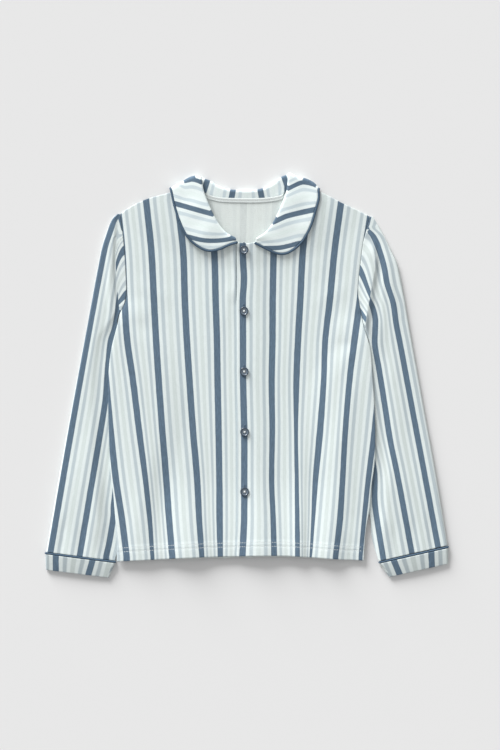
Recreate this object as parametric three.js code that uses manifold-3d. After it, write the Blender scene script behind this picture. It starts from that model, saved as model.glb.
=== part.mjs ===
// A child's long-sleeved pyjama shirt of striped cotton knit, buttoned and laid flat on its back.
// Millimetres. +Z is up from the surface it lies on, +Y runs towards the collar, and +X is to the
// right of someone who looks down on the front. Left and right below are as that person sees them.

import * as THREE from "three";
import { mergeVertices } from "three/addons/utils/BufferGeometryUtils.js";
import Module from "manifold-3d";

const wasm = await Module();
wasm.setup();

// Cloth and sewing sizes
const WALL = 1.2; // cotton interlock with the turnings of its seams
const TWO_PLY = 1.6; // collar and cuffs, two plies
const TAPE = 0.8; // neck tape
const GAP = 0.5; // air between two layers that lie on each other
const SEAM = 0.3; // parting of two pieces where they are sewn together
const COLLAR_CORD = 1.45; // radius of the collar's piping
const WING_RISE = 1; // clearance of a wing's rim over the front, for its piping
const CUFF_CORD = 1.25; // radius of the cuffs' piping

// How far one layer is lifted by what lies under it
const SLEEVE_LIFT = 3.5; // the body's sides lie on the hidden part of the sleeves
const FALL_LIFT = 3.1; // the back's neck lies on the collar, which is folded behind it
const SLEEVE_PUFF = 2.2; // the upper layer of a sleeve stands this much clear of the lower one
const BACK_SHARE = 0.45; // the back takes this share of the fronts' waves
const ROLL_LOFT = 2.3; // the collar's wings stand this much higher along their roll

// Buttons
const BUTTON_RADIUS = 5.75;
const BUTTON_THICK = 2.2;
const BUTTON_RIM = 1.3;
const HOLE_RADIUS = 0.8;
const HOLE_OFFSET = 1.25;
const BUTTONS = [
  { name: "button_1", x: -3.6, y: 163.2 },
  { name: "button_2", x: -3.6, y: 83.6 },
  { name: "button_3", x: -3.3, y: 4.9 },
  { name: "button_4", x: -2.8, y: -73.6 },
  { name: "button_5", x: -2.8, y: -151.2 },
];

// Colours
const CLOTH = 0xe4eef0;
const BLUE = 0x5a7d9b;
const WHITE = 0xf3f4ef;
const NAVY = 0x3d5568;

// Body outline, seen from above: armhole seam from the shoulder tip, then the side, to the hem
const LEFT_EDGE = [
  { y: 209.8, x: -164.6 },
  { y: 197.3, x: -162.6 },
  { y: 179.7, x: -160.6 },
  { y: 162.2, x: -158.9 },
  { y: 137.5, x: -157.4 },
  { y: 107.6, x: -156.3 },
  { y: 94, x: -158.6 },
  { y: 80.3, x: -165 },
  { y: 67.3, x: -167.9 },
  { y: 36, x: -175.8 },
  { y: 10, x: -179.2 },
  { y: -22, x: -180.4 },
  { y: -70, x: -179.4 },
  { y: -126, x: -177 },
  { y: -150, x: -173.9 },
  { y: -180, x: -171.5 },
  { y: -211, x: -169.2 },
  { y: -242.1, x: -169 },
];
const RIGHT_EDGE = [
  { y: 206.4, x: 160 },
  { y: 191.6, x: 156 },
  { y: 175.2, x: 151.5 },
  { y: 159.6, x: 149.1 },
  { y: 141, x: 147 },
  { y: 120, x: 144.9 },
  { y: 102.4, x: 144.9 },
  { y: 85, x: 147.8 },
  { y: 66, x: 151.5 },
  { y: 50, x: 156.3 },
  { y: 33.5, x: 160.6 },
  { y: -9, x: 163.8 },
  { y: -45, x: 166 },
  { y: -80, x: 167.1 },
  { y: -116, x: 165.8 },
  { y: -145, x: 161.8 },
  { y: -175, x: 159.2 },
  { y: -197, x: 155.3 },
  { y: -214, x: 153.4 },
  { y: -240.8, x: 152 },
];
const SHOULDER_LEFT = [
  { x: -164.6, y: 209.8 },
  { x: -151.5, y: 218.9 },
  { x: -132, y: 228.5 },
  { x: -99.7, y: 237.6 },
  { x: -66, y: 247 },
];
const SHOULDER_RIGHT = [
  { x: 62, y: 247 },
  { x: 94.2, y: 238.9 },
  { x: 122.9, y: 224.6 },
  { x: 142.3, y: 215.5 },
  { x: 160, y: 206.4 },
];
const NECK_UNDER = [
  { x: -62.5, y: 236 },
  { x: -59, y: 226 },
  { x: -49, y: 204.5 },
  { x: -39, y: 190 },
  { x: -27.5, y: 180 },
  { x: -10, y: 172.3 },
  { x: 8, y: 171 },
];
const NECK_OVER = [
  { x: -13, y: 172.6 },
  { x: 6, y: 172 },
  { x: 26, y: 181.5 },
  { x: 37.5, y: 194 },
  { x: 48.5, y: 214.5 },
  { x: 54.5, y: 227 },
  { x: 58.5, y: 238 },
];
const NECK_SEAM = [
  { x: -57, y: 240 },
  { x: -53.5, y: 235.8 },
  { x: -40, y: 231 },
  { x: -4.2, y: 229 },
  { x: 27.7, y: 230 },
  { x: 46, y: 234 },
  { x: 50.5, y: 239.5 },
];
const LAP = { over: -13, under: 8, fade: 34 }; // front edges of the two fronts, and end of the lift
const HEM = [
  { x: -169, y: -242.1 },
  { x: -121.5, y: -239.5 },
  { x: -60.5, y: -236.5 },
  { x: -4.5, y: -235 },
  { x: 34.5, y: -234.4 },
  { x: 69.5, y: -235.6 },
  { x: 115, y: -238.9 },
  { x: 152, y: -240.8 },
];
const BACK_HEM_DROP = 1.3; // the back shows this much below the fronts in the middle

// Grain lines, one stripe repeat apart and counted from the front edge: x of each at four heights
const GRAIN = [
  { line: -5, chest: -189, waist: -183, hip: -170, hem: -156 },
  { line: -4, chest: -159, waist: -148, hip: -131, hem: -122 },
  { line: -3, chest: -120, waist: -114, hip: -103, hem: -95 },
  { line: -2, chest: -80, waist: -74, hip: -64, hem: -57 },
  { line: -1, chest: -40, waist: -38, hip: -35, hem: -34 },
  { line: 0, chest: -5, waist: -4, hip: -3, hem: -5 },
  { line: 1, chest: 34, waist: 33, hip: 32, hem: 35 },
  { line: 2, chest: 69, waist: 67, hip: 65, hem: 66 },
  { line: 3, chest: 107, waist: 99, hip: 90, hem: 84 },
  { line: 4, chest: 148, waist: 138, hip: 125, hem: 116 },
  { line: 5, chest: 187, waist: 173, hip: 159, hem: 147 },
];
const GRAIN_Y = { chest: 98, waist: -6, hip: -136, hem: -236 };

// Soft waves of the lower body: the grain line under each crest, its height at the hem, its
// spread in stripe repeats, and the y where it starts
const WAVES = [
  { line: -4.4, height: 2.6, spread: 0.55, starts: -30 },
  { line: -2.5, height: 4, spread: 0.6, starts: 10 },
  { line: 0.65, height: 3, spread: 0.5, starts: 0 },
  { line: 2.1, height: 3.2, spread: 0.45, starts: -30 },
  { line: 3.75, height: 4.2, spread: 0.55, starts: 40 },
];

// Sleeves. outer is the folded edge, inner the armhole seam and then the hidden underarm seam,
// fold the edge of the tuck beside the armhole, dive the heights between which the body rises
const SLEEVES = [
  {
    name: "left_view",
    side: -1,
    edge: LEFT_EDGE,
    dive: { low: 62, high: 105 },
    outer: [
      { x: -168.2, y: 210 },
      { x: -174.6, y: 203.8 },
      { x: -179.2, y: 194.2 },
      { x: -183.6, y: 182.2 },
      { x: -189.4, y: 162.2 },
      { x: -207.3, y: 66 },
      { x: -225.6, y: -31.5 },
      { x: -243.8, y: -129 },
      { x: -260.8, y: -229.6 },
    ],
    inner: [
      { y: 209.8, x: -165 },
      { y: 197.3, x: -163 },
      { y: 179.7, x: -161 },
      { y: 162.2, x: -159.3 },
      { y: 137.5, x: -157.8 },
      { y: 107.6, x: -156.8 },
      { y: 94, x: -159.1 },
      { y: 80.3, x: -165.6 },
      { y: 67.3, x: -168.5 },
      { y: 58, x: -163 },
      { y: 48, x: -154 },
      { y: 36, x: -144 },
      { y: 20, x: -133 },
      { y: 0, x: -124.5 },
      { y: -30, x: -120.5 },
      { y: -70, x: -124 },
      { y: -110, x: -134 },
      { y: -150, x: -146 },
      { y: -190, x: -157.5 },
      { y: -220, x: -165.5 },
      { y: -241.3, x: -171.6 },
    ],
    fold: [
      { y: 200, x: -167 },
      { y: 187, x: -168.6 },
      { y: 170, x: -170.3 },
      { y: 152, x: -170.6 },
      { y: 127, x: -170 },
      { y: 108, x: -168.2 },
      { y: 88, x: -166 },
    ],
    cuff: {
      outerTop: { x: -261.9, y: -232.6 },
      innerTop: { x: -171.2, y: -244.2 },
      outerLow: { x: -261.3, y: -253 },
      innerLow: { x: -179.7, y: -263.2 },
    },
  },
  {
    name: "right_view",
    side: 1,
    edge: RIGHT_EDGE,
    dive: { low: 40, high: 85 },
    outer: [
      { x: 163.6, y: 206.6 },
      { x: 169.4, y: 197.6 },
      { x: 178.1, y: 182.2 },
      { x: 187.5, y: 162.8 },
      { x: 196.7, y: 141.4 },
      { x: 213.4, y: 50 },
      { x: 229.8, y: -40.6 },
      { x: 246, y: -130 },
      { x: 261, y: -221 },
    ],
    inner: [
      { y: 206.4, x: 160.4 },
      { y: 191.6, x: 156.4 },
      { y: 175.2, x: 151.9 },
      { y: 159.6, x: 149.5 },
      { y: 141, x: 147.4 },
      { y: 120, x: 145.3 },
      { y: 102.4, x: 145.3 },
      { y: 85, x: 148.2 },
      { y: 66, x: 151.9 },
      { y: 50, x: 156.7 },
      { y: 41, x: 159.3 },
      { y: 33, x: 153 },
      { y: 24, x: 144 },
      { y: 12, x: 135 },
      { y: -5, x: 126 },
      { y: -30, x: 120.5 },
      { y: -60, x: 121 },
      { y: -100, x: 129 },
      { y: -135, x: 141 },
      { y: -165, x: 153 },
      { y: -185, x: 160.3 },
      { y: -210, x: 162.6 },
      { y: -226, x: 166.6 },
      { y: -241.6, x: 171.6 },
    ],
    fold: [
      { y: 175, x: 164 },
      { y: 160, x: 165.5 },
      { y: 148, x: 167.5 },
      { y: 130, x: 165.5 },
      { y: 111, x: 162 },
      { y: 98, x: 159.8 },
      { y: 83, x: 157 },
      { y: 66, x: 154 },
    ],
    cuff: {
      outerTop: { x: 261.9, y: -224.6 },
      innerTop: { x: 172.6, y: -244.8 },
      outerLow: { x: 261.9, y: -245.1 },
      innerLow: { x: 185.2, y: -262.3 },
    },
  },
];
const CUFF_HEIGHT = 4.2; // thickness of the flattened cuff
const CUFF_CROWN = 0.8;

// Collar wings: roll is the fold along the neck opening, rim the outer edge, top the fold over the
// shoulder, out is the direction in which that fold bulges
const WINGS = [
  {
    side: -1,
    out: { x: -0.39, y: 0.92 },
    roll: [
      { x: -61.3, y: 255.2 },
      { x: -58.5, y: 240 },
      { x: -55, y: 229.5 },
      { x: -45, y: 207 },
      { x: -36, y: 192.6 },
      { x: -26, y: 182.6 },
      { x: -14, y: 176.6 },
    ],
    rim: [
      { x: -96.9, y: 241 },
      { x: -92.2, y: 219.5 },
      { x: -85.4, y: 199.2 },
      { x: -77.9, y: 183.8 },
      { x: -66.5, y: 171.5 },
      { x: -50.1, y: 163.3 },
      { x: -35.2, y: 165.6 },
      { x: -23.5, y: 171 },
      { x: -13, y: 174 },
    ],
    top: [
      { x: -61.3, y: 255.2 },
      { x: -65, y: 256.2 },
      { x: -72.5, y: 254.6 },
      { x: -82, y: 249.3 },
      { x: -96.9, y: 241 },
    ],
  },
  {
    side: 1,
    out: { x: 0.46, y: 0.89 },
    roll: [
      { x: 56, y: 259.5 },
      { x: 55, y: 250 },
      { x: 54, y: 240 },
      { x: 49.5, y: 227 },
      { x: 45.6, y: 217.2 },
      { x: 35.3, y: 197 },
      { x: 25.5, y: 184.8 },
      { x: 12, y: 176.2 },
    ],
    rim: [
      { x: 91.5, y: 241 },
      { x: 92.4, y: 232 },
      { x: 87.9, y: 214.9 },
      { x: 82, y: 195.2 },
      { x: 71.3, y: 175.7 },
      { x: 61.6, y: 166.1 },
      { x: 50.8, y: 159.8 },
      { x: 40.3, y: 159.8 },
      { x: 25, y: 166.4 },
      { x: 11, y: 173.4 },
    ],
    top: [
      { x: 56, y: 259.5 },
      { x: 64.5, y: 255.2 },
      { x: 76, y: 252.5 },
      { x: 86, y: 247.2 },
      { x: 91.5, y: 241 },
    ],
  },
];
const BACK_ROLL = [
  { x: -61.3, y: 255.2 },
  { x: -52, y: 252.9 },
  { x: -40, y: 245 },
  { x: -24.1, y: 239.4 },
  { x: -4.2, y: 238 },
  { x: 17.6, y: 239.4 },
  { x: 33.5, y: 246 },
  { x: 47, y: 256 },
  { x: 56, y: 259.5 },
];
const FALL = { x: -2.7, y: 241, across: 94.2, down: 57 }; // half ellipse of the collar's back edge
const FALL_FULL = 1.07; // in multiples of that ellipse, where the back is fully lifted
const FALL_FLAT = 1.85; // and where it lies flat again
const SHOULDER_BULGE = 3; // reach of the fold over the shoulder
const STAND_RISE = 1.4; // the stand climbs this much from its seam to its roll
const STRIP = 7; // width of the stand under a wing
const TAPE_WIDTH = 6;

// Mesh density. The body and the sleeves share their rows: even ones down to the chest, then
// ones that widen towards the hem.
const CHEST = 106;
const ROWS = { upper: 9, lower: 10, widen: 1.4 };
const BACK_COLUMNS = 30;
const FRONT_COLUMNS = 19;
const SLEEVE_GRID = { upper: 9, turn: 4, lower: 2 };
const WING_GRID = { across: 6, along: 11 };
const FALL_ROWS = 14;
const FOLD_STEPS = 3;
const CORD_SIDES = 8;

const { lerp, clamp, smoothstep } = THREE.MathUtils;

// A smooth function read off a table: value against key, in any order of rows
function profile(table, key, value) {
  const rows = table.map((row) => [row[key], row[value]]).sort((a, b) => a[0] - b[0]);
  const last = rows.length - 1;
  const slopes = rows.map((row, i) => {
    const before = rows[Math.max(i - 1, 0)];
    const after = rows[Math.min(i + 1, last)];
    return (after[1] - before[1]) / (after[0] - before[0]);
  });
  return (at) => {
    const place = clamp(at, rows[0][0], rows[last][0]);
    const i = clamp(rows.findIndex((row) => row[0] >= place), 1, last);
    const [k0, v0] = rows[i - 1];
    const [k1, v1] = rows[i];
    const step = k1 - k0;
    const f = (place - k0) / step;
    const rise = f * f * (3 - 2 * f);
    const start = f * (1 - f) * (1 - f) * step * slopes[i - 1];
    const end = f * f * (f - 1) * step * slopes[i];
    return lerp(v0, v1, rise) + start + end;
  };
}

// A curve in plan through table rows, read by its share of length
function through(table) {
  const points = table.map((row) => new THREE.Vector3(row.x, row.y, 0));
  const curve = new THREE.CatmullRomCurve3(points, false, "centripetal");
  return (share) => curve.getPointAt(clamp(share, 0, 1));
}

// A patch in plan between four edges: top and bottom run across, left and right run along
function patch(top, bottom, left, right) {
  return (s, t) => {
    const across = top(s).multiplyScalar(1 - t).addScaledVector(bottom(s), t);
    const along = left(t).multiplyScalar(1 - s).addScaledVector(right(t), s);
    const corners = top(0)
      .multiplyScalar((1 - s) * (1 - t))
      .addScaledVector(top(1), s * (1 - t))
      .addScaledVector(bottom(0), (1 - s) * t)
      .addScaledVector(bottom(1), s * t);
    return across.add(along).sub(corners);
  };
}

// One closed mesh from two facing grids of points. loop joins the last column to the first.
function shell(columns, rows, faceAt, backAt, loop = false) {
  const positions = [];
  for (const at of [faceAt, backAt]) {
    for (let j = 0; j < rows; j += 1) {
      for (let i = 0; i < columns; i += 1) {
        positions.push(...at(i, j));
      }
    }
  }
  const index = [];
  const node = (i, j, layer) => layer * columns * rows + j * columns + (i % columns);
  const quad = (a, b, c, d) => index.push(a, b, c, a, c, d);
  const spans = loop ? columns : columns - 1;
  for (let j = 0; j + 1 < rows; j += 1) {
    for (let i = 0; i < spans; i += 1) {
      quad(node(i, j, 0), node(i, j + 1, 0), node(i + 1, j + 1, 0), node(i + 1, j, 0));
      quad(node(i, j, 1), node(i + 1, j, 1), node(i + 1, j + 1, 1), node(i, j + 1, 1));
    }
  }
  for (let i = 0; i < spans; i += 1) {
    quad(node(i, 0, 1), node(i, 0, 0), node(i + 1, 0, 0), node(i + 1, 0, 1));
    quad(node(i, rows - 1, 0), node(i, rows - 1, 1), node(i + 1, rows - 1, 1), node(i + 1, rows - 1, 0));
  }
  for (let j = 0; j + 1 < rows && !loop; j += 1) {
    quad(node(0, j, 0), node(0, j, 1), node(0, j + 1, 1), node(0, j + 1, 0));
    const end = columns - 1;
    quad(node(end, j, 1), node(end, j, 0), node(end, j + 1, 0), node(end, j + 1, 1));
  }
  return outward(positions, index);
}

// A round cord through stations, each with two directions square to its run
function cord(stations, radius, closed) {
  const positions = [];
  for (const { at, out, aside } of stations) {
    for (let k = 0; k < CORD_SIDES; k += 1) {
      const angle = (2 * Math.PI * (k + 0.5)) / CORD_SIDES;
      const spot = at.clone().addScaledVector(aside, radius * Math.cos(angle));
      positions.push(...spot.addScaledVector(out, radius * Math.sin(angle)));
    }
  }
  const index = [];
  const node = (j, k) => (j % stations.length) * CORD_SIDES + (k % CORD_SIDES);
  for (let j = 0; j + 1 < stations.length + (closed ? 1 : 0); j += 1) {
    for (let k = 0; k < CORD_SIDES; k += 1) {
      index.push(node(j, k), node(j, k + 1), node(j + 1, k + 1));
      index.push(node(j, k), node(j + 1, k + 1), node(j + 1, k));
    }
  }
  const last = stations.length - 1;
  for (let k = 1; k + 1 < CORD_SIDES && !closed; k += 1) {
    index.push(node(0, 0), node(0, k + 1), node(0, k));
    index.push(node(last, 0), node(last, k), node(last, k + 1));
  }
  return outward(positions, index);
}

// A geometry whose faces point out, whichever way its grid ran
function outward(positions, index) {
  let volume = 0;
  const corner = (k) => new THREE.Vector3().fromArray(positions, 3 * index[k]);
  for (let k = 0; k < index.length; k += 3) {
    volume += corner(k).dot(corner(k + 1).cross(corner(k + 2)));
  }
  if (volume < 0) {
    for (let k = 0; k < index.length; k += 3) {
      [index[k + 1], index[k + 2]] = [index[k + 2], index[k + 1]];
    }
  }
  const geometry = new THREE.BufferGeometry();
  geometry.setAttribute("position", new THREE.Float32BufferAttribute(positions, 3));
  geometry.setIndex(index);
  return geometry;
}

// To and from solids, for joining and cutting
function toSolid(geometry) {
  const bare = geometry.clone();
  bare.deleteAttribute("normal");
  bare.deleteAttribute("uv");
  const merged = mergeVertices(bare, 1e-5);
  const mesh = new wasm.Mesh({
    numProp: 3,
    vertProperties: new Float32Array(merged.attributes.position.array),
    triVerts: new Uint32Array(merged.index.array),
  });
  return new wasm.Manifold(mesh);
}

function toGeometry(solid) {
  const mesh = solid.getMesh();
  const geometry = new THREE.BufferGeometry();
  geometry.setAttribute("position", new THREE.Float32BufferAttribute(mesh.vertProperties, 3));
  geometry.setIndex(Array.from(mesh.triVerts));
  return geometry;
}

// Where the layers lie
const grainAt = Object.keys(GRAIN_Y).map((level) => {
  return { y: GRAIN_Y[level], line: profile(GRAIN, level, "line") };
});

// The cloth's own coordinate across the body, in stripe repeats from the front edge
function grainLine(x, y) {
  const upper = grainAt.findLastIndex((level, i) => i + 1 < grainAt.length && y <= level.y);
  const from = grainAt[Math.max(upper, 0)];
  const to = grainAt[Math.max(upper, 0) + 1];
  const share = clamp((from.y - y) / (from.y - to.y), 0, 1);
  return lerp(from.line(x), to.line(x), share);
}

function wave(x, y) {
  const line = grainLine(x, y);
  return WAVES.reduce((sum, crest) => {
    const grown = smoothstep(crest.starts - y, 0, crest.starts - GRAIN_Y.hem);
    return sum + crest.height * grown * Math.exp(-(((line - crest.line) / crest.spread) ** 2));
  }, 0);
}

const sleeveInner = SLEEVES.map((sleeve) => profile(sleeve.inner, "y", "x"));

function sleeveLift(x, y) {
  return SLEEVES.reduce((most, sleeve, i) => {
    const inside = sleeve.side * (sleeveInner[i](y) - x);
    const across = 1 - smoothstep(inside, 8, 48);
    const along = 1 - smoothstep(y, sleeve.dive.low, sleeve.dive.high);
    return Math.max(most, SLEEVE_LIFT * across * along);
  }, 0);
}

function fallLift(x, y) {
  const ring = Math.hypot((x - FALL.x) / FALL.across, (y - FALL.y) / FALL.down);
  return FALL_LIFT * (1 - smoothstep(ring, FALL_FULL, FALL_FLAT));
}

function backFloor(x, y) {
  return sleeveLift(x, y) + fallLift(x, y) + BACK_SHARE * wave(x, y);
}

function frontFloor(x, y) {
  return backFloor(x, y) + WALL + GAP + (1 - BACK_SHARE) * wave(x, y);
}

function overFloor(x, y) {
  return frontFloor(x, y) + (WALL + GAP) * (1 - smoothstep(x, LAP.under + 2, LAP.fade));
}

function straight(from, to) {
  return (share) => new THREE.Vector3(lerp(from.x, to.x, share), lerp(from.y, to.y, share), 0);
}

// Height of a shared row between the top of an edge and its end
function rowY(row, top, end) {
  if (row <= ROWS.upper) {
    return lerp(top, CHEST, row / ROWS.upper);
  }
  return lerp(CHEST, end, ((row - ROWS.upper) / ROWS.lower) ** ROWS.widen);
}

const hemY = profile(HEM, "x", "y");

// A body panel of one wall: its top edge, the x of its two sides at a height, and its floor
function panel(top, leftX, rightX, columns, floor, drop = 0) {
  const side = (x, high) => (t) => {
    const y = lerp(high, CHEST, t);
    return new THREE.Vector3(x(y), y, 0);
  };
  const chest = straight({ x: leftX(CHEST), y: CHEST }, { x: rightX(CHEST), y: CHEST });
  const yoke = patch(top, chest, side(leftX, top(0).y), side(rightX, top(1).y));
  const spot = (i, row) => {
    const s = i / columns;
    if (row <= ROWS.upper) {
      return yoke(s, row / ROWS.upper);
    }
    const end = lerp(HEM[0].y, HEM.at(-1).y, s);
    const level = rowY(row, 0, end);
    const x = lerp(leftX(level), rightX(level), s);
    const y = rowY(row, 0, hemY(x) - drop * Math.sin(Math.PI * s));
    return new THREE.Vector3(x, y, 0);
  };
  const raised = (up) => (i, row) => {
    const { x, y } = spot(i, row);
    return [x, y, floor(x, y) + up];
  };
  return shell(columns + 1, ROWS.upper + ROWS.lower + 1, raised(WALL), raised(0));
}

const leftEdge = profile(LEFT_EDGE, "y", "x");
const rightEdge = profile(RIGHT_EDGE, "y", "x");

function backPanel() {
  const neck = NECK_SEAM.map((row) => ({ x: row.x * 1.02, y: row.y - 3 * SEAM }));
  const top = through([...SHOULDER_LEFT, ...neck, ...SHOULDER_RIGHT]);
  return panel(top, leftEdge, rightEdge, BACK_COLUMNS, backFloor, BACK_HEM_DROP);
}

function frontUnder() {
  const top = through([...SHOULDER_LEFT, ...NECK_UNDER]);
  return panel(top, leftEdge, () => LAP.under, FRONT_COLUMNS, frontFloor);
}

function frontOver() {
  const top = through([...NECK_OVER, ...SHOULDER_RIGHT]);
  return panel(top, () => LAP.over, rightEdge, FRONT_COLUMNS, overFloor);
}

// Underside of a sleeve's upper layer, which is low where the body lies on it and in the tuck
function sleeveFloor(sleeve) {
  const edge = profile(sleeve.edge, "y", "x");
  const fold = profile(sleeve.fold, "y", "x");
  const foldLow = sleeve.fold.at(-1).y;
  return (x, y) => {
    const tucked = smoothstep(y, foldLow - 25, foldLow + 5);
    const line = lerp(edge(y), fold(y), tucked);
    const outside = sleeve.side * (x - line);
    const clear = lerp(7, 0, tucked);
    const puff = smoothstep(outside, clear, clear + lerp(18, 3.5, tucked));
    const crest = 1 - 0.6 * smoothstep(y, sleeve.fold[0].y - 30, sleeve.fold[0].y + 5);
    const beside = 1 - smoothstep(Math.abs(x - edge(y)), 0, 10);
    const raised = sleeveLift(edge(y), y) * beside * smoothstep(y, sleeve.dive.low, sleeve.dive.high);
    return WALL + GAP + Math.max(SLEEVE_PUFF * puff * crest, raised);
  };
}

// One sheet folded at the outer edge: upper layer from the inner edge out, the turn, lower layer back
function sleeveShell(sleeve) {
  const outer = profile(sleeve.outer, "y", "x");
  const inner = profile(sleeve.inner, "y", "x");
  const [high, low] = [sleeve.inner[0].y, sleeve.inner.at(-1).y];
  const floor = sleeveFloor(sleeve);
  const grid = SLEEVE_GRID;
  const section = (row) => {
    const y = rowY(row, high, low);
    const from = new THREE.Vector3(inner(y), y, 0);
    const outerY = lerp(sleeve.outer[0].y, sleeve.outer.at(-1).y, (high - y) / (high - low));
    const to = new THREE.Vector3(outer(outerY), outerY, 0);
    const width = from.distanceTo(to);
    const way = to.clone().sub(from).normalize();
    const probe = from.clone().addScaledVector(way, width * 0.85);
    const middle = (floor(probe.x, probe.y) + WALL) / 2;
    const turn = { at: width - middle, z: middle };
    const face = [];
    const back = [];
    const add = (list, along, z) => {
      const spot = from.clone().addScaledVector(way, along);
      list.push([spot.x, spot.y, z]);
    };
    for (let i = 0; i <= grid.upper; i += 1) {
      const along = (turn.at * i) / grid.upper;
      const spot = from.clone().addScaledVector(way, along);
      const settle = smoothstep(along, turn.at * 0.8, turn.at);
      const z = lerp(floor(spot.x, spot.y), 2 * middle - WALL, settle);
      add(face, along, z + WALL);
      add(back, along, z);
    }
    for (let k = 1; k < grid.turn; k += 1) {
      const angle = Math.PI / 2 - (Math.PI * k) / grid.turn;
      const hollow = middle - WALL;
      add(face, turn.at + middle * Math.cos(angle), middle + middle * Math.sin(angle));
      add(back, turn.at + hollow * Math.cos(angle), middle + hollow * Math.sin(angle));
    }
    for (let i = grid.lower; i >= 0; i -= 1) {
      const along = (turn.at * i) / grid.lower;
      add(face, along, 0);
      add(back, along, WALL);
    }
    return { face, back };
  };
  const sections = Array.from({ length: ROWS.upper + ROWS.lower + 1 }, (_, row) => section(row));
  const columns = sections[0].face.length;
  return shell(columns, sections.length, (i, j) => sections[j].face[i], (i, j) => sections[j].back[i]);
}

// A flattened ring as a closed section: distance across and height, with the way out of the wall
function ringSection(width, height, crown, wall) {
  const radius = (height - wall) / 2;
  const reach = width - height;
  const points = [];
  const add = (along, z, outAlong, outZ) => points.push({ along, z, outAlong, outZ });
  const across = 6;
  const turn = 4;
  for (let i = 0; i <= across; i += 1) {
    const share = i / across;
    add(height / 2 + reach * share, height - wall / 2 + crown * Math.sin(Math.PI * share), 0, 1);
  }
  for (let k = 1; k < turn; k += 1) {
    const angle = Math.PI / 2 - (Math.PI * k) / turn;
    const [c, s] = [Math.cos(angle), Math.sin(angle)];
    add(height / 2 + reach + radius * c, height / 2 + radius * s, c, s);
  }
  for (let i = across; i >= 0; i -= 1) {
    add(height / 2 + (reach * i) / across, wall / 2, 0, -1);
  }
  for (let k = 1; k < turn; k += 1) {
    const angle = -Math.PI / 2 - (Math.PI * k) / turn;
    const [c, s] = [Math.cos(angle), Math.sin(angle)];
    add(height / 2 + radius * c, height / 2 + radius * s, c, s);
  }
  return points;
}

function cuffShell(cuff) {
  const rows = 3;
  const inner = straight(cuff.innerTop, cuff.innerLow);
  const outer = straight(cuff.outerTop, cuff.outerLow);
  const grid = Array.from({ length: rows }, (_, j) => {
    const from = inner(j / (rows - 1));
    const to = outer(j / (rows - 1));
    const way = to.clone().sub(from).normalize();
    const ring = ringSection(from.distanceTo(to), CUFF_HEIGHT, CUFF_CROWN, TWO_PLY);
    const spot = (point, side) => {
      const along = point.along + (side * point.outAlong * TWO_PLY) / 2;
      const place = from.clone().addScaledVector(way, along);
      return [place.x, place.y, point.z + (side * point.outZ * TWO_PLY) / 2];
    };
    return { face: ring.map((point) => spot(point, 1)), back: ring.map((point) => spot(point, -1)) };
  });
  const columns = grid[0].face.length;
  return shell(columns, rows, (i, j) => grid[j].face[i], (i, j) => grid[j].back[i], true);
}

// The cord round a cuff's top, in the slot between the cuff and the sleeve's end
function cuffPiping(cuff) {
  const inner = new THREE.Vector3(cuff.innerTop.x, cuff.innerTop.y, 0);
  const outer = new THREE.Vector3(cuff.outerTop.x, cuff.outerTop.y, 0);
  const way = outer.clone().sub(inner).normalize();
  const up = new THREE.Vector3(-way.y, way.x, 0);
  up.multiplyScalar(Math.sign(up.y) * (CUFF_CORD + SEAM));
  const start = inner.add(up).addScaledVector(way, -CUFF_CORD);
  const width = outer.add(up).addScaledVector(way, CUFF_CORD).distanceTo(start);
  const height = CUFF_HEIGHT + CUFF_CORD;
  const ring = ringSection(width, height, CUFF_CROWN, 2 * CUFF_CORD);
  const stations = ring.map((point) => {
    const at = start.clone().addScaledVector(way, point.along).setZ(point.z);
    const out = way.clone().multiplyScalar(point.outAlong).setZ(point.outZ);
    return { at, out, aside: up.clone().normalize() };
  });
  return cord(stations, CUFF_CORD, true);
}

// Top of whatever lies under a collar wing
function underWing(x, y) {
  return overFloor(x, y) + WALL;
}

const wingPlans = WINGS.map((wing) => {
  const tip = straight(wing.roll.at(-1), wing.rim.at(-1));
  return patch(through(wing.top), tip, through(wing.roll), through(wing.rim));
});

// Middle of a wing's wall at a share s from roll to rim and t from shoulder to tip
function wingMiddle(side, s, t) {
  const spot = wingPlans[side](s, t);
  const loft = ROLL_LOFT * (1 - smoothstep(s, 0, 0.75)) * (1 - 0.7 * smoothstep(t, 0.5, 1));
  spot.z = underWing(spot.x, spot.y) + WING_RISE + loft + TWO_PLY / 2;
  return spot;
}

const fallPlan = patch(
  through(WINGS[0].top),
  through(WINGS[1].top),
  through(BACK_ROLL),
  (t) => {
    const angle = Math.PI * t;
    const x = FALL.x - FALL.across * Math.cos(angle);
    return new THREE.Vector3(x, FALL.y - FALL.down * Math.sin(angle), 0);
  },
);

function fallMiddle(s, t) {
  const spot = fallPlan(s, t);
  spot.z = TWO_PLY / 2;
  return spot;
}

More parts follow.
